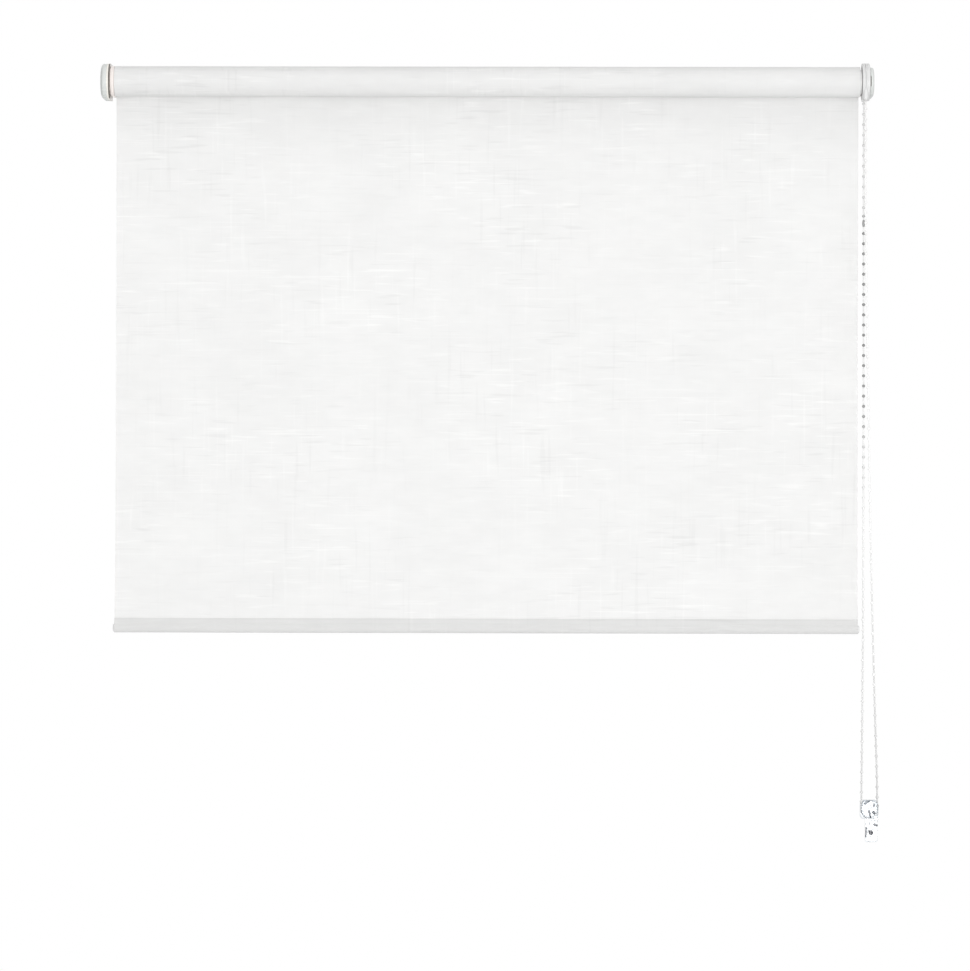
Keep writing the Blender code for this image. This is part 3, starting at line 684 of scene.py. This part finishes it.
def smooth_route(points, per_span=24):
    """Points on the Catmull-Rom curve through given points."""
    points = [Vector(p) for p in points]
    ends = [2 * points[0] - points[1]] + points + [2 * points[-1] - points[-2]]
    dense = []
    for a, b, c, d in zip(ends, ends[1:], ends[2:], ends[3:]):
        for k in range(per_span):
            t = k / per_span
            dense.append(0.5 * (2 * b + (c - a) * t + (2 * a - 5 * b + 4 * c - d) * t ** 2
                                + (3 * b - a - 3 * c + d) * t ** 3))
    dense.append(points[-1])
    return dense


def chain_route():
    """Down the back strand, round the clip's post and up the front strand."""
    bend = []
    for k in range(1, 24):
        a = pi * (1 + k / 24)
        bend.append(Vector((CLIP_BEND[0] + CLIP_BEND_R * cos(a), CLIP_BEND[1],
                            CLIP_BEND[2] + CLIP_BEND_R * sin(a))))
    back = [p for p in smooth_route(BACK_STRAND) if p.z <= STRAND_TOP]
    front = [p for p in smooth_route(FRONT_STRAND) if p.z <= STRAND_TOP]
    return np.array([tuple(p) for p in back + bend + front])


class Route:
    """A polyline that can be read at any distance along it."""

    def __init__(self, points):
        self.points = points
        self.along = np.concatenate([[0], np.cumsum(np.linalg.norm(np.diff(points, axis=0),
                                                                    axis=1))])
        self.length = self.along[-1]

    def at(self, distances):
        return np.stack([np.interp(distances, self.along, self.points[:, k]) for k in range(3)],
                        axis=1)


def swept(name, stations, radii, centre_of, look):
    """A round strand with a radius at each station along a route."""
    centres = centre_of(stations)
    ahead = centre_of(stations + 0.4) - centre_of(stations - 0.4)
    ahead /= np.linalg.norm(ahead, axis=1, keepdims=True)
    side = np.cross(ahead, np.array([0.0, 1.0, 0.0]))
    side /= np.linalg.norm(side, axis=1, keepdims=True)
    up = np.cross(side, ahead)
    rings = []
    for c, s, u, r in zip(centres, side, up, radii):
        rings.append([tuple(c + r * (cos(a) * s + sin(a) * u)) for a in round_trip(STRAND_SIDES)])
    return stacked(name, rings, look, crease=50.0)


# heights of single beads, and how many pitches lie between one and the next along the chain
UPPER_BEADS = np.append(np.linspace(-24.7, -150.3, 11), -160.6)
LOWER_MARKS = [("back", -181.7, 0), ("back", -859.5, 55), ("front", -865.0, 6),
               ("front", -145.6, 58), ("front", -20.9, 10)]


def bead_places(route):
    """Distances of the beads above the joiner and below it, and the joiner's middle."""
    turn = int(np.argmin(route.points[:, 2]))
    back_z, back_at = -route.points[:turn, 2], route.along[:turn]
    front_z, front_at = route.points[turn:, 2], route.along[turn:]

    def reach(strand, z):
        if strand == "back":
            return float(np.interp(-z, back_z, back_at))
        return float(np.interp(z, front_z, front_at))

    index = np.cumsum([count for _, _, count in LOWER_MARKS])
    marks = [reach(strand, z) for strand, z, _ in LOWER_MARKS]
    lower = np.interp(np.arange(index[-1] + 1), index, marks)
    upper = [reach("back", z) for z in UPPER_BEADS]
    return upper, list(lower), reach("back", (joiner_low[2] + joiner_high[2]) / 2)


def bead_chain():
    route = Route(chain_route())
    upper, lower, joiner_at = bead_places(route)
    tilts = [radians(a) for a in (-68, -50, -32, -14, 14, 32, 50, 68)]
    places = [(0.0, CORD_R)]
    for bead in upper + lower:
        places += [(bead - BEAD_R - 0.35, CORD_R)]
        places += [(bead + BEAD_R * sin(a), BEAD_R * cos(a)) for a in tilts]
        places += [(bead + BEAD_R + 0.35, CORD_R)]
    places += [(joiner_at, CORD_R), (route.length, CORD_R)]
    for bead, after in zip(lower, lower[1:]):
        places += [(bead + (after - bead) * share, CORD_R) for share in (0.35, 0.5, 0.65)]
    places.sort()
    stations = np.array([p for p, _ in places])
    radii = np.array([r for _, r in places])
    chain = swept("bead_chain", stations, radii, route.at, [BEADS, CORD])
    # the bead's rings and the slim cord between them are told apart by their thickness
    slim = (radii[:-1] <= CORD_R) & (radii[1:] <= CORD_R)
    marks = np.zeros(len(chain.data.polygons), np.int32)
    marks[:STRAND_SIDES * (len(stations) - 1)] = np.repeat(slim, STRAND_SIDES)
    chain.data.polygons.foreach_set("material_index", marks)
    stand_in(chain, "chain_plastic", "frame", "chain_upper_back", "chain_main")
    return chain, route, joiner_at


def chain_joiner(route, joiner_at):
    """A slim spindle-shaped clamp, closed over the two ends of the chain's cord."""
    top, bottom = joiner_high[2], joiner_low[2]
    half = (top - bottom) / 2
    middle = route.at(np.array([joiner_at]))[0]
    bore = CORD_R + 0.12
    outer = [(-half, 1.2), (-half + 1.1, 1.4), (-half + 2.6, 1.65), (0.0, 1.75),
             (half - 2.6, 1.65), (half - 1.1, 1.4), (half, 1.2)]
    profile = rounded([(-half, bore)] + outer + [(half, bore)], [0] + [0.5] * len(outer) + [0], 3)
    joiner = turned("chain_joiner", profile, JOINER, 32, tuple(middle), "Z")
    stand_in(joiner, "connector_plastic", "frame", "chain_connector")
    return joiner


def make_chain():
    chain, route, joiner_at = bead_chain()
    joiner = chain_joiner(route, joiner_at)
    path = route.at(np.linspace(0, route.length, 400)) * MM


# ---- bracket covers ----
def cover_shell(name, node, wall, rim_along, rim_in, lip, looks, notch):
    """A moulded cap: a round front with straight sides back to the wall, and a soft outer rim."""
    low, high = corners(node)
    outward = 1 if (low[0] + high[0]) > 0 else -1
    x_open, x_end = (low[0], high[0]) if outward > 0 else (high[0], low[0])
    radius, back, notch_half = high[2], high[1], 6.2

    def ring(x, inset, notched=False):
        r = radius - inset
        loop = []
        for k in range(7):
            loop.append((back, -r + 2 * r * k / 6))
        for k in range(1, 5):
            loop.append((back + (AXIS_Y - back) * k / 4, r))
        loop += arc((AXIS_Y, 0), r, 90, 270, 56)[1:]
        for k in range(1, 4):
            loop.append((AXIS_Y + (back - AXIS_Y) * k / 4, -r))
        found = []
        for y, z in loop:
            dip = notch if notched and y < AXIS_Y and abs(z) < notch_half else 0.0
            found.append((x + outward * dip, y, z))
        return found

    step_in = 0.22                     # the lip stands this far proud of the cap
    rings = [ring(x_open + outward * deep, inset, notched) for deep, inset, notched in (
        (0.0, wall, True), (0.0, 0.25, True), (0.15, 0.0, True), (lip, 0.0, False),
        (lip + 0.15, step_in, False), (lip + 0.5, step_in, False))]
    rim_start = x_end - outward * rim_along
    steps = 8
    for k in range(steps + 1):
        a = pi / 2 * k / steps
        rings.append(ring(rim_start + outward * rim_along * sin(a),
                          step_in + (rim_in - step_in) * (1 - cos(a))))
    for inset in (rim_in + 3.0, rim_in + 6.0, radius * 0.75):
        rings.append(ring(x_end, inset))
    outer_count = len(rings)
    deep = x_end - outward * wall
    inner = [ring(deep, radius * 0.75), ring(deep, max(rim_in, wall + 0.6))]
    inner.append(ring(deep - outward * (rim_along * 0.5), wall + (rim_in - wall) * 0.35))
    inner.append(ring(rim_start - outward * 0.2, wall))
    rings = rings + inner
    count = len(rings[0])
    points = [p for r in rings for p in r]
    faces = grid_faces(len(rings), count, wrap_rows=True, wrap_columns=True)
    # the outside and the inside don't join at the middle of the end: each is closed there
    del faces[(outer_count - 1) * count:outer_count * count]
    for start in (outer_count - 1, outer_count):
        faces.append(tuple(start * count + j for j in range(count)))
    # the first four bands of faces are the lip and take the second look, which is a painted highlight on the
    # idle cover
    lip_faces = 4 * count
    marks = [1] * lip_faces + [0] * (len(faces) - lip_faces)
    cover = solid(name, points, faces, *looks, marks=marks, crease=40.0)
    stand_in(cover, "cover_plastic", "frame", node)


def steel_bracket(name, node, plate_at, radius, reach, screw_x):
    """Bent steel sheet: a plate across the roller's end and a flange flat on the wall."""
    (x_inner, thick), (flange_half, hole_r) = plate_at, reach
    outward = 1 if x_inner > 0 else -1
    x_outer = x_inner + outward * thick
    loop = [(0.0, -radius), (0.0, radius)] + arc((AXIS_Y, 0), radius, 90, 270, 72)
    ends = sorted((x_inner, x_outer))
    bracket = stacked(name, [[(x, y, z) for y, z in loop] for x in ends], (ZINC, CUT_EDGE_PAINTED_SHADE))
    # the sheet's front edge is raw steel, painted near-black as the shade in the groove beside the cover;
    # the zinc covers the rest
    for face in bracket.data.polygons:
        face.material_index = 1 if face.normal.y < -0.25 else 0
    flange_reach, screw_half_gap, broken = 24.0, 9.0, 0.25
    x_tip = x_outer - outward * flange_reach
    low, high = sorted((x_tip, x_inner + outward * thick * 0.9))
    tab = rounded([(low, -flange_half), (high, -flange_half), (high, flange_half),
                   (low, flange_half)], [3.0 if x == x_tip else 0.0 for x in (low, high, high, low)])
    flange = stacked("tool", [[(x, y, z) for x, z in tab] for y in (-thick, -0.02)], ZINC)
    boolean(bracket, flange, "UNION")
    boolean(bracket, turned("tool", [(ends[0] - 2, 0), (ends[0] - 2, hole_r), (ends[1] + 2, hole_r),
                                     (ends[1] + 2, 0)], ZINC, 40), "DIFFERENCE")
    for z in (-screw_half_gap, screw_half_gap):
        hole = [(-4, 0), (-4, 3.0), (-thick, 3.0), (-0.6, 2.4), (2, 2.4), (2, 0)]
        boolean(bracket, turned("tool", hole, ZINC, 32, (screw_x, 0.0, z), "Y"), "DIFFERENCE")
    edges = bracket.modifiers.new("broken_edges", "BEVEL")
    edges.width = broken * MM
    edges.segments = 2
    edges.limit_method = "ANGLE"
    edges.angle_limit = radians(50)
    stand_in(bracket, "zinc_steel", "frame", node)


def crown_ring():
    """The clutch's outer crown: its rim shows in the gap between the cloth and the guard."""
    barrel, rim, bore, spindle = TUBE_R - 1.5, CROWN_RIM_R, 9.2, 6.4
    foot, flange, end, floor = 414.0, 450.6, 452.8, 416.0
    profile = rounded([
        (foot, spindle), (foot, barrel - 0.8), (foot + 3.0, barrel), (flange, barrel),
        (flange, rim), (end, rim), (end, bore), (floor, bore), (floor, spindle)],
        [0.1, 0.3, 0.5, 0.0, 0.5, 0.5, 0.3, 0.2, 0.1])
    crown = turned("crown_ring", profile, CROWN, 96)
    boolean(crown, block((415.0, AXIS_Y - 1.4, 8.3), (436.0, AXIS_Y + 1.4, 11.0)), "UNION")
    sharpen(crown.data, 35)
    stand_in(crown, "grey_plastic", "roller", "clutch_crown")


# ---- chain guard ----
def guard_halves():
    wall = 1.6
    inner_r = GUARD_R - wall
    x0, x1 = guard_in_low[0], guard_in_high[0]
    x2, x3 = guard_out_low[0], guard_out_high[0]
    ridge = 0.35

    def groove(x):
        return [(x, GUARD_R), (x + 0.2, GUARD_R - ridge), (x + 0.5, GUARD_R - ridge),
                (x + 0.7, GUARD_R)]

    inner = rounded([
        (x0, 9.6), (x0, GUARD_R), *groove(x0 + 1.5), (x1, GUARD_R), (x1, inner_r),
        (x0 + 1.2, inner_r), (x0 + 1.2, 9.6)],
        [0.2, 0.9, 0, 0, 0, 0, 0.35, 0, 0.5, 0.2])
    bore = 5.1
    outer = rounded([
        (x2, inner_r), (x2, GUARD_R), *groove(x2 + 1.6), (x3, GUARD_R), (x3, bore),
        (x3 - 1.3, bore), (x3 - 1.3, inner_r)],
        [0, 0.35, 0, 0, 0, 0, 1.9, 0.2, 0.2, 0.5])
    spout_r, spout_foot = 2.9, -21.9

    def rod(radius, foot, y):
        loop = rounded([(foot, 0), (foot, radius), (-8.6, radius), (-7.6, radius * 0.6), (-7.0, 0)],
                       [0, 0.6, 0.5, 0.3, 0], 3)
        return turned("tool", loop, GUARD, 48, (CHAIN_X, y, 0.0), "Z")

    for name, node, profile in (("guard_inner_shell", "chain_guard_inner", inner),
                                ("guard_outer_shell", "chain_guard_outer", outer)):
        half = turned(name, profile, GUARD, 112, crease=30.0)
        for y in (AXIS_Y - CHAIN_R, AXIS_Y + CHAIN_R):
            if name == "guard_outer_shell":
                boolean(half, rod(spout_r, spout_foot, y), "UNION")
            else:
                boolean(half, rod(spout_r + 0.1, spout_foot - 4, y), "DIFFERENCE")
            boolean(half, rod(2.3, -30.0, y), "DIFFERENCE")
        sharpen(half.data, 30)
        stand_in(half, "white_plastic", "frame", node)


# ---- child-safety clip ----
def plate(name, loop, y_back, y_front, soften=0.3, front_soften=0.9,
          looks=(CLEAR, CLEAR_RIM_PAINTED_SHADE)):
    """A flat clear moulding parallel to the wall; its bevelled rim is the second material, tinted darker as
    a painted shade of its refracted edge.
    """
    loop = np.array(loop, float)
    centre = loop.mean(0)
    away = loop - centre
    reach = np.linalg.norm(away, axis=1, keepdims=True)
    layers = [(y_back, soften), (y_back - soften, 0), (y_front + front_soften * 0.7, 0),
              (y_front + front_soften * 0.2, front_soften * 0.45), (y_front, front_soften)]
    rings = []
    for y, inset in layers:
        pulled = loop - away / reach * np.minimum(inset, reach * 0.8)
        rings.append([(x, y, z) for x, z in pulled])
    return stacked(name, rings, looks, marks=range(0, 4), crease=25.0)


def box_loop(low, high, radii):
    (x0, z0), (x1, z1) = low, high
    return rounded([(x0, z0), (x1, z0), (x1, z1), (x0, z1)], radii, 8)


def rib(start, end, width, y_back, y_front, taper=1.0, looks=(CLEAR, CLEAR_EDGE_PAINTED_SHADE)):
    """A straight rib between two points in the wall plane."""
    start, end = np.array(start, float), np.array(end, float)
    along = (end - start) / np.linalg.norm(end - start)
    across = np.array([-along[1], along[0]]) * width / 2
    loop = [start + across, end + across * taper, end - across * taper, start - across]
    loop = rounded([tuple(p) for p in loop], [width * 0.4] * 4, 3)
    return plate("tool", loop, y_back, y_front, 0.0, min(0.5, width * 0.3), looks)


def post(radius, y_back, y_front, at, bore=0.0, look=CLEAR_RIM_PAINTED_SHADE):
    """A round post or ring standing out from the wall."""
    loop = [(y_back, bore), (y_back, radius), (y_front + 0.3, radius), (y_front, radius - 0.3),
            (y_front, bore)]
    return turned("tool", loop, look, 48, (at[0], 0.0, at[1]), "Y")


DARK_PAINTED_LOOKS, EDGE_PAINTED_LOOKS = (CLEAR_PAINTED_DARK, CLEAR_PAINTED_DARK), (CLEAR, CLEAR_EDGE_PAINTED_SHADE)
# ribs tinted dark as painted shade, standing in for the dark refracted edges seen in the clip: start and end
# in the wall plane, width, front, taper, looks
CLIP_PAINTED_DARK_RIBS = [
    ((458.8, -873.2), (465.6, -869.4), 3.6, -14.0, 0.6, DARK_PAINTED_LOOKS),
    ((456.9, -874.5), (456.4, -881.5), 1.5, -13.9, 0.9, EDGE_PAINTED_LOOKS),
    ((457.2, -872.9), (460.2, -869.6), 1.6, -13.9, 0.9, EDGE_PAINTED_LOOKS),
    ((469.0, -882.2), (472.2, -885.0), 4.2, -14.0, 0.8, DARK_PAINTED_LOOKS),
    ((471.1, -872.4), (470.6, -877.4), 2.9, -14.0, 0.7, DARK_PAINTED_LOOKS),
    ((464.7, -880.6), (466.7, -889.9), 2.7, -14.0, 0.8, DARK_PAINTED_LOOKS),
    ((460.9, -882.6), (464.9, -889.0), 1.7, -13.9, 1.0, EDGE_PAINTED_LOOKS),
    ((470.9, -886.0), (475.4, -892.6), 1.7, -13.8, 0.8, EDGE_PAINTED_LOOKS),
    ((463.8, -893.6), (465.4, -898.0), 1.8, -3.6, 0.8, EDGE_PAINTED_LOOKS),
    ((468.6, -893.6), (466.2, -898.0), 1.8, -3.6, 0.8, EDGE_PAINTED_LOOKS),
    ((465.4, -898.2), (469.4, -902.8), 1.6, -3.6, 0.8, EDGE_PAINTED_LOOKS),
    ((472.6, -893.8), (476.0, -895.8), 2.0, -3.6, 0.8, EDGE_PAINTED_LOOKS),
    ((461.9, -891.6), (461.7, -898.4), 1.6, -3.0, 1.0, EDGE_PAINTED_LOOKS),
    ((462.5, -901.8), (461.6, -914.6), 2.3, -3.0, 0.8, DARK_PAINTED_LOOKS),
    ((470.8, -898.2), (476.0, -900.4), 3.4, -3.8, 0.8, DARK_PAINTED_LOOKS),
]


def make_clip():
    """Back plate with a tab for the wall screw, a post for the chain and a hood in front."""
    left, bottom, right, top = clip_low[0], clip_low[2], clip_high[0], clip_high[2]
    bend = (CLIP_BEND[0], CLIP_BEND[2])
    clip = plate("safety_clip", box_loop((460.9, bottom), (right - 0.3, -874.0),
                                         [2.0, 3.0, 0.5, 0.5]), 0.0, -2.2)
    head = box_loop((left, -892.0), (right, top), [5.0, 2.5, 5.5, 6.5])
    boolean(clip, plate("tool", head, -0.02, -2.15), "UNION")
    boolean(clip, post(7.0, -1.2, -12.6, bend, 5.4), "UNION")
    hood = rounded([(left + 0.3, -884.5), (460.8, -891.4), (right - 0.6, -890.2),
                    (right, -872.5), (470.5, top), (456.9, top + 0.1)],
                   [3.0, 5.0, 3.5, 5.0, 5.0, 3.5], 8)
    boolean(clip, plate("tool", hood, -12.0, -13.6, 0.3, 1.1), "UNION")
    # a small ring on the hood, tinted dark as a painted shade of its refracted edge
    boolean(clip, post(2.7, -13.0, -13.8, (465.6, -877.0), 1.7, CLEAR_EDGE_PAINTED_SHADE), "UNION")
    for start, end, width, y_front, taper, looks in CLIP_PAINTED_DARK_RIBS:
        boolean(clip, rib(start, end, width, -1.2 if y_front > -10 else -12.6, y_front, taper,
                          looks), "UNION")
    screw_x, _, screw_z = sum(corners("chain_clip_screw")) / 2
    at = (screw_x, screw_z)
    boolean(clip, post(4.7, -1.2, -2.8, at, 4.1), "UNION")
    boolean(clip, post(2.4, 3.0, -6.0, at), "DIFFERENCE")
    sharpen(clip.data, 25)
    stand_in(clip, "clear_plastic", "frame", "chain_clip")


# ---- fasteners ----
def threaded_screw(node, head_r=3.6):
    """Pan-head screw with a cross recess and a coarse thread."""
    low, high = corners(node)
    x, _, z = (low + high) / 2
    head_top, tip = low[1], high[1]
    head_h, root, pitch = 2.4, 1.35, 1.25
    rings, sides = [], 28
    head = rounded([(0.0, 0.0), (0.0, 0.5 * head_r), (0.35, 0.8 * head_r), (1.5, head_r),
                    (head_h, head_r), (head_h, 1.75)], [0, 0.8, 0.8, 0.8, 0.25, 0])[1:]
    def ring(y, radii):
        return [(x + r * cos(a), y, z + r * sin(a)) for r, a in zip(radii, round_trip(sides))]

    for depth, radius in head:
        rings.append(ring(head_top + depth, [radius] * sides))
    start, end = head_top + head_h + 0.4, tip - 0.05
    for n in range(int((end - start) / 0.22) + 1):
        y = start + 0.22 * n
        taper = min(1.0, (tip - y) / 4.5)
        radii = []
        for k in range(sides):
            phase = ((y - start) / pitch - k / sides) % 1.0
            crest = max(0.0, 1 - abs(phase - 0.5) / 0.22)
            radii.append(max(0.12, (root + 0.55 * crest) * taper))
        rings.append(ring(y, radii))
    screw = stacked(f"{node}_threaded", rings, SCREW, crease=50.0)
    # the cross recess is cut with the near-black look: painted shade in the recess
    for wide, tall in ((3.6, 0.95), (0.95, 3.6)):
        boolean(screw, block((x - wide / 2, head_top - 1, z - tall / 2),
                             (x + wide / 2, head_top + 1.5, z + tall / 2), RECESS_PAINTED_SHADE), "DIFFERENCE")
    sharpen(screw.data, 40)
    stand_in(screw, "screw_steel", "frame", node)


# ---- idle pin's spring ----
def pin_spring():
    """The spring between the idle pin and the bush; it moves with the pin and does not shorten."""
    low, high = corners("idle_pin_spring")
    wire, turns, per_turn, sides = 0.4, 6, 28, 10
    coil_r = (high[2] - low[2]) / 2 - wire
    _, axis_y, axis_z = (low + high) / 2
    start, length = low[0] + wire, high[0] - low[0] - 2 * wire
    rings = []
    for n in range(turns * per_turn + 1):
        a = 2 * pi * n / per_turn
        out = np.array([0.0, cos(a), sin(a)])
        ahead = np.array([length / turns / (2 * pi * coil_r), -sin(a), cos(a)])
        across = np.cross(ahead / np.linalg.norm(ahead), out)
        centre = (np.array([start + length * n / (turns * per_turn), axis_y, axis_z])
                  + coil_r * out)
        rings.append([tuple(centre + wire * (cos(b) * out + sin(b) * across))
                      for b in round_trip(sides)])
    spring = stacked("pin_spring", rings, SPRING, crease=60.0)
    stand_in(spring, "spring_steel", "pin", "idle_pin_spring")
    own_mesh(spring)


# ---- CAD nodes that stay ----
KEPT = {
    "idle_bush": DARK, "clutch_spindle": WHITE,
    "clutch_washer": SCREW, "clutch_screw": SCREW, "roller_tube": ALUMINIUM,
    "idle_end_plug": IVORY, "wrap_spring_outer": SPRING,
    "wrap_spring_inner": SPRING, "bottom_bar": ALUMINIUM, "bottom_bar_cap_left": CAP,
    "bottom_bar_cap_right": CAP, "chain_wheel": WHITE, "chain_on_wheel": BEADS,
    "idle_pin": SCREW,
}


def soft_shading():
    """A node group that welds a mesh's corners and shades it smooth across gentle angles."""
    group = bpy.data.node_groups.new("soft_shading", "GeometryNodeTree")
    group.interface.new_socket("Geometry", in_out="INPUT", socket_type="NodeSocketGeometry")
    group.interface.new_socket("Geometry", in_out="OUTPUT", socket_type="NodeSocketGeometry")
    nodes, links = group.nodes, group.links
    start, end = nodes.new("NodeGroupInput"), nodes.new("NodeGroupOutput")
    plain = nodes.new("GeometryNodeRemoveAttribute")
    plain.inputs["Name"].default_value = "custom_normal"
    weld = nodes.new("GeometryNodeMergeByDistance")
    weld.inputs["Distance"].default_value = 0.002 * MM
    smooth = nodes.new("GeometryNodeSetShadeSmooth")
    edges = nodes.new("GeometryNodeSetShadeSmooth")
    edges.domain = "EDGE"
    angle = nodes.new("GeometryNodeInputMeshEdgeAngle")
    gentle = nodes.new("FunctionNodeCompare")
    gentle.data_type = "FLOAT"
    gentle.operation = "LESS_THAN"
    gentle.inputs[1].default_value = radians(34)
    for out, into in ((start.outputs[0], plain.inputs["Geometry"]),
                      (plain.outputs["Geometry"], weld.inputs["Geometry"]),
                      (weld.outputs["Geometry"], smooth.inputs["Geometry"]),
                      (smooth.outputs["Geometry"], edges.inputs["Geometry"]),
                      (angle.outputs["Unsigned Angle"], gentle.inputs[0]),
                      (gentle.outputs["Result"], edges.inputs["Shade Smooth"]),
                      (edges.outputs["Geometry"], end.inputs[0])):
        links.new(out, into)
    return group


def dress_kept_nodes():
    softer = soft_shading()
    for node, look in KEPT.items():
        piece = NODES[node]
        piece.data.materials.clear()
        piece.data.materials.append(look)
        change = piece.modifiers.new("soft_shading", "NODES")
        change.node_group = softer


# ---- studio ----
FLOOR_Z = -1900.0
BACKDROP, FRONT_FILL = 1.0, 0.80      # how bright the room is behind and in front
DIM_SIDE = 0.22                       # the unlit side, at -X, beside the bright room


def make_studio():
    floor_mesh = bpy.data.meshes.new("studio_floor")
    floor_mesh.from_pydata([(-12, -14, 0), (12, -14, 0), (12, 3.6, 0), (-12, 3.6, 0)], [],
                           [(0, 1, 2, 3)])
    floor = put("studio_floor", floor_mesh)
    floor.location.z = FLOOR_Z * MM
    floor_mesh.materials.append(Look("studio_floor_paint", (0.80, 0.80, 0.80), 0.8).material)
    world = bpy.data.worlds.new("studio")
    world.use_nodes = True
    tree = world.node_tree
    direction = tree.nodes.new("ShaderNodeTexCoord").outputs["Generated"]
    axes = tree.nodes.new("ShaderNodeSeparateXYZ")
    both = tree.nodes.new("ShaderNodeMath")
    both.operation = "MULTIPLY"
    tree.links.new(direction, axes.inputs["Vector"])
    for term, (axis, *numbers) in enumerate((("Y", -0.3, 0.7, FRONT_FILL, BACKDROP),
                                             ("X", -0.86, -0.42, DIM_SIDE, 1.0))):
        band = tree.nodes.new("ShaderNodeMapRange")
        band.interpolation_type = "SMOOTHSTEP"
        set_range(band, *numbers)
        tree.links.new(axes.outputs[axis], band.inputs["Value"])
        tree.links.new(band.outputs["Result"], both.inputs[term])
    tree.links.new(both.outputs["Value"], tree.nodes["Background"].inputs["Strength"])
    tree.nodes["Background"].inputs["Color"].default_value = (1.0, 1.0, 1.0, 1.0)
    bpy.context.scene.world = world
    for name, place, size, power in (("key", (260, -4200, -680), 2.4, 86.0),
                                     ("top", (200, -1700, 3200), 2.0, 21.0),
                                     ("rear", (-1500, 2400, 900), 1.6, 10.0)):
        data = bpy.data.lights.new(name, "AREA")
        data.shape = "DISK"
        data.size = size
        data.energy = power
        lamp = put(name, data)
        lamp.location = Vector(place) * MM
        aim = Vector((0, 0, -330)) - Vector(place)
        lamp.rotation_mode = "QUATERNION"
        lamp.rotation_quaternion = aim.to_track_quat("-Z", "Y")
    bpy.context.scene.view_settings.view_transform = "Standard"


make_camera()
make_studio()
make_chain()
make_cloth()
steel_bracket("idle_plate_bent", "idle_bracket", (-455.3, 1.3), 21.5, (17.0, 2.1), -441.0)
steel_bracket("drive_plate_bent", "drive_bracket", (462.7, 2.0), 16.6, (14.5, 5.1), 449.0)
cover_shell("idle_cover_shell", "idle_bracket_cover", 1.6, 4.0, 6.2, 1.9, (COVER, LIP_PAINTED_HIGHLIGHT),
            0.0)
cover_shell("drive_cover_shell", "drive_bracket_cover", 1.1, 2.4, 3.6, 0.9, (COVER, COVER), 0.75)
crown_ring()
guard_halves()
make_clip()
for wall_screw in ("idle_bracket_screw_upper", "idle_bracket_screw_lower",
                   "drive_bracket_screw_upper", "drive_bracket_screw_lower"):
    threaded_screw(wall_screw)
threaded_screw("chain_clip_screw", head_r=2.9)
pin_spring()
dress_kept_nodes()
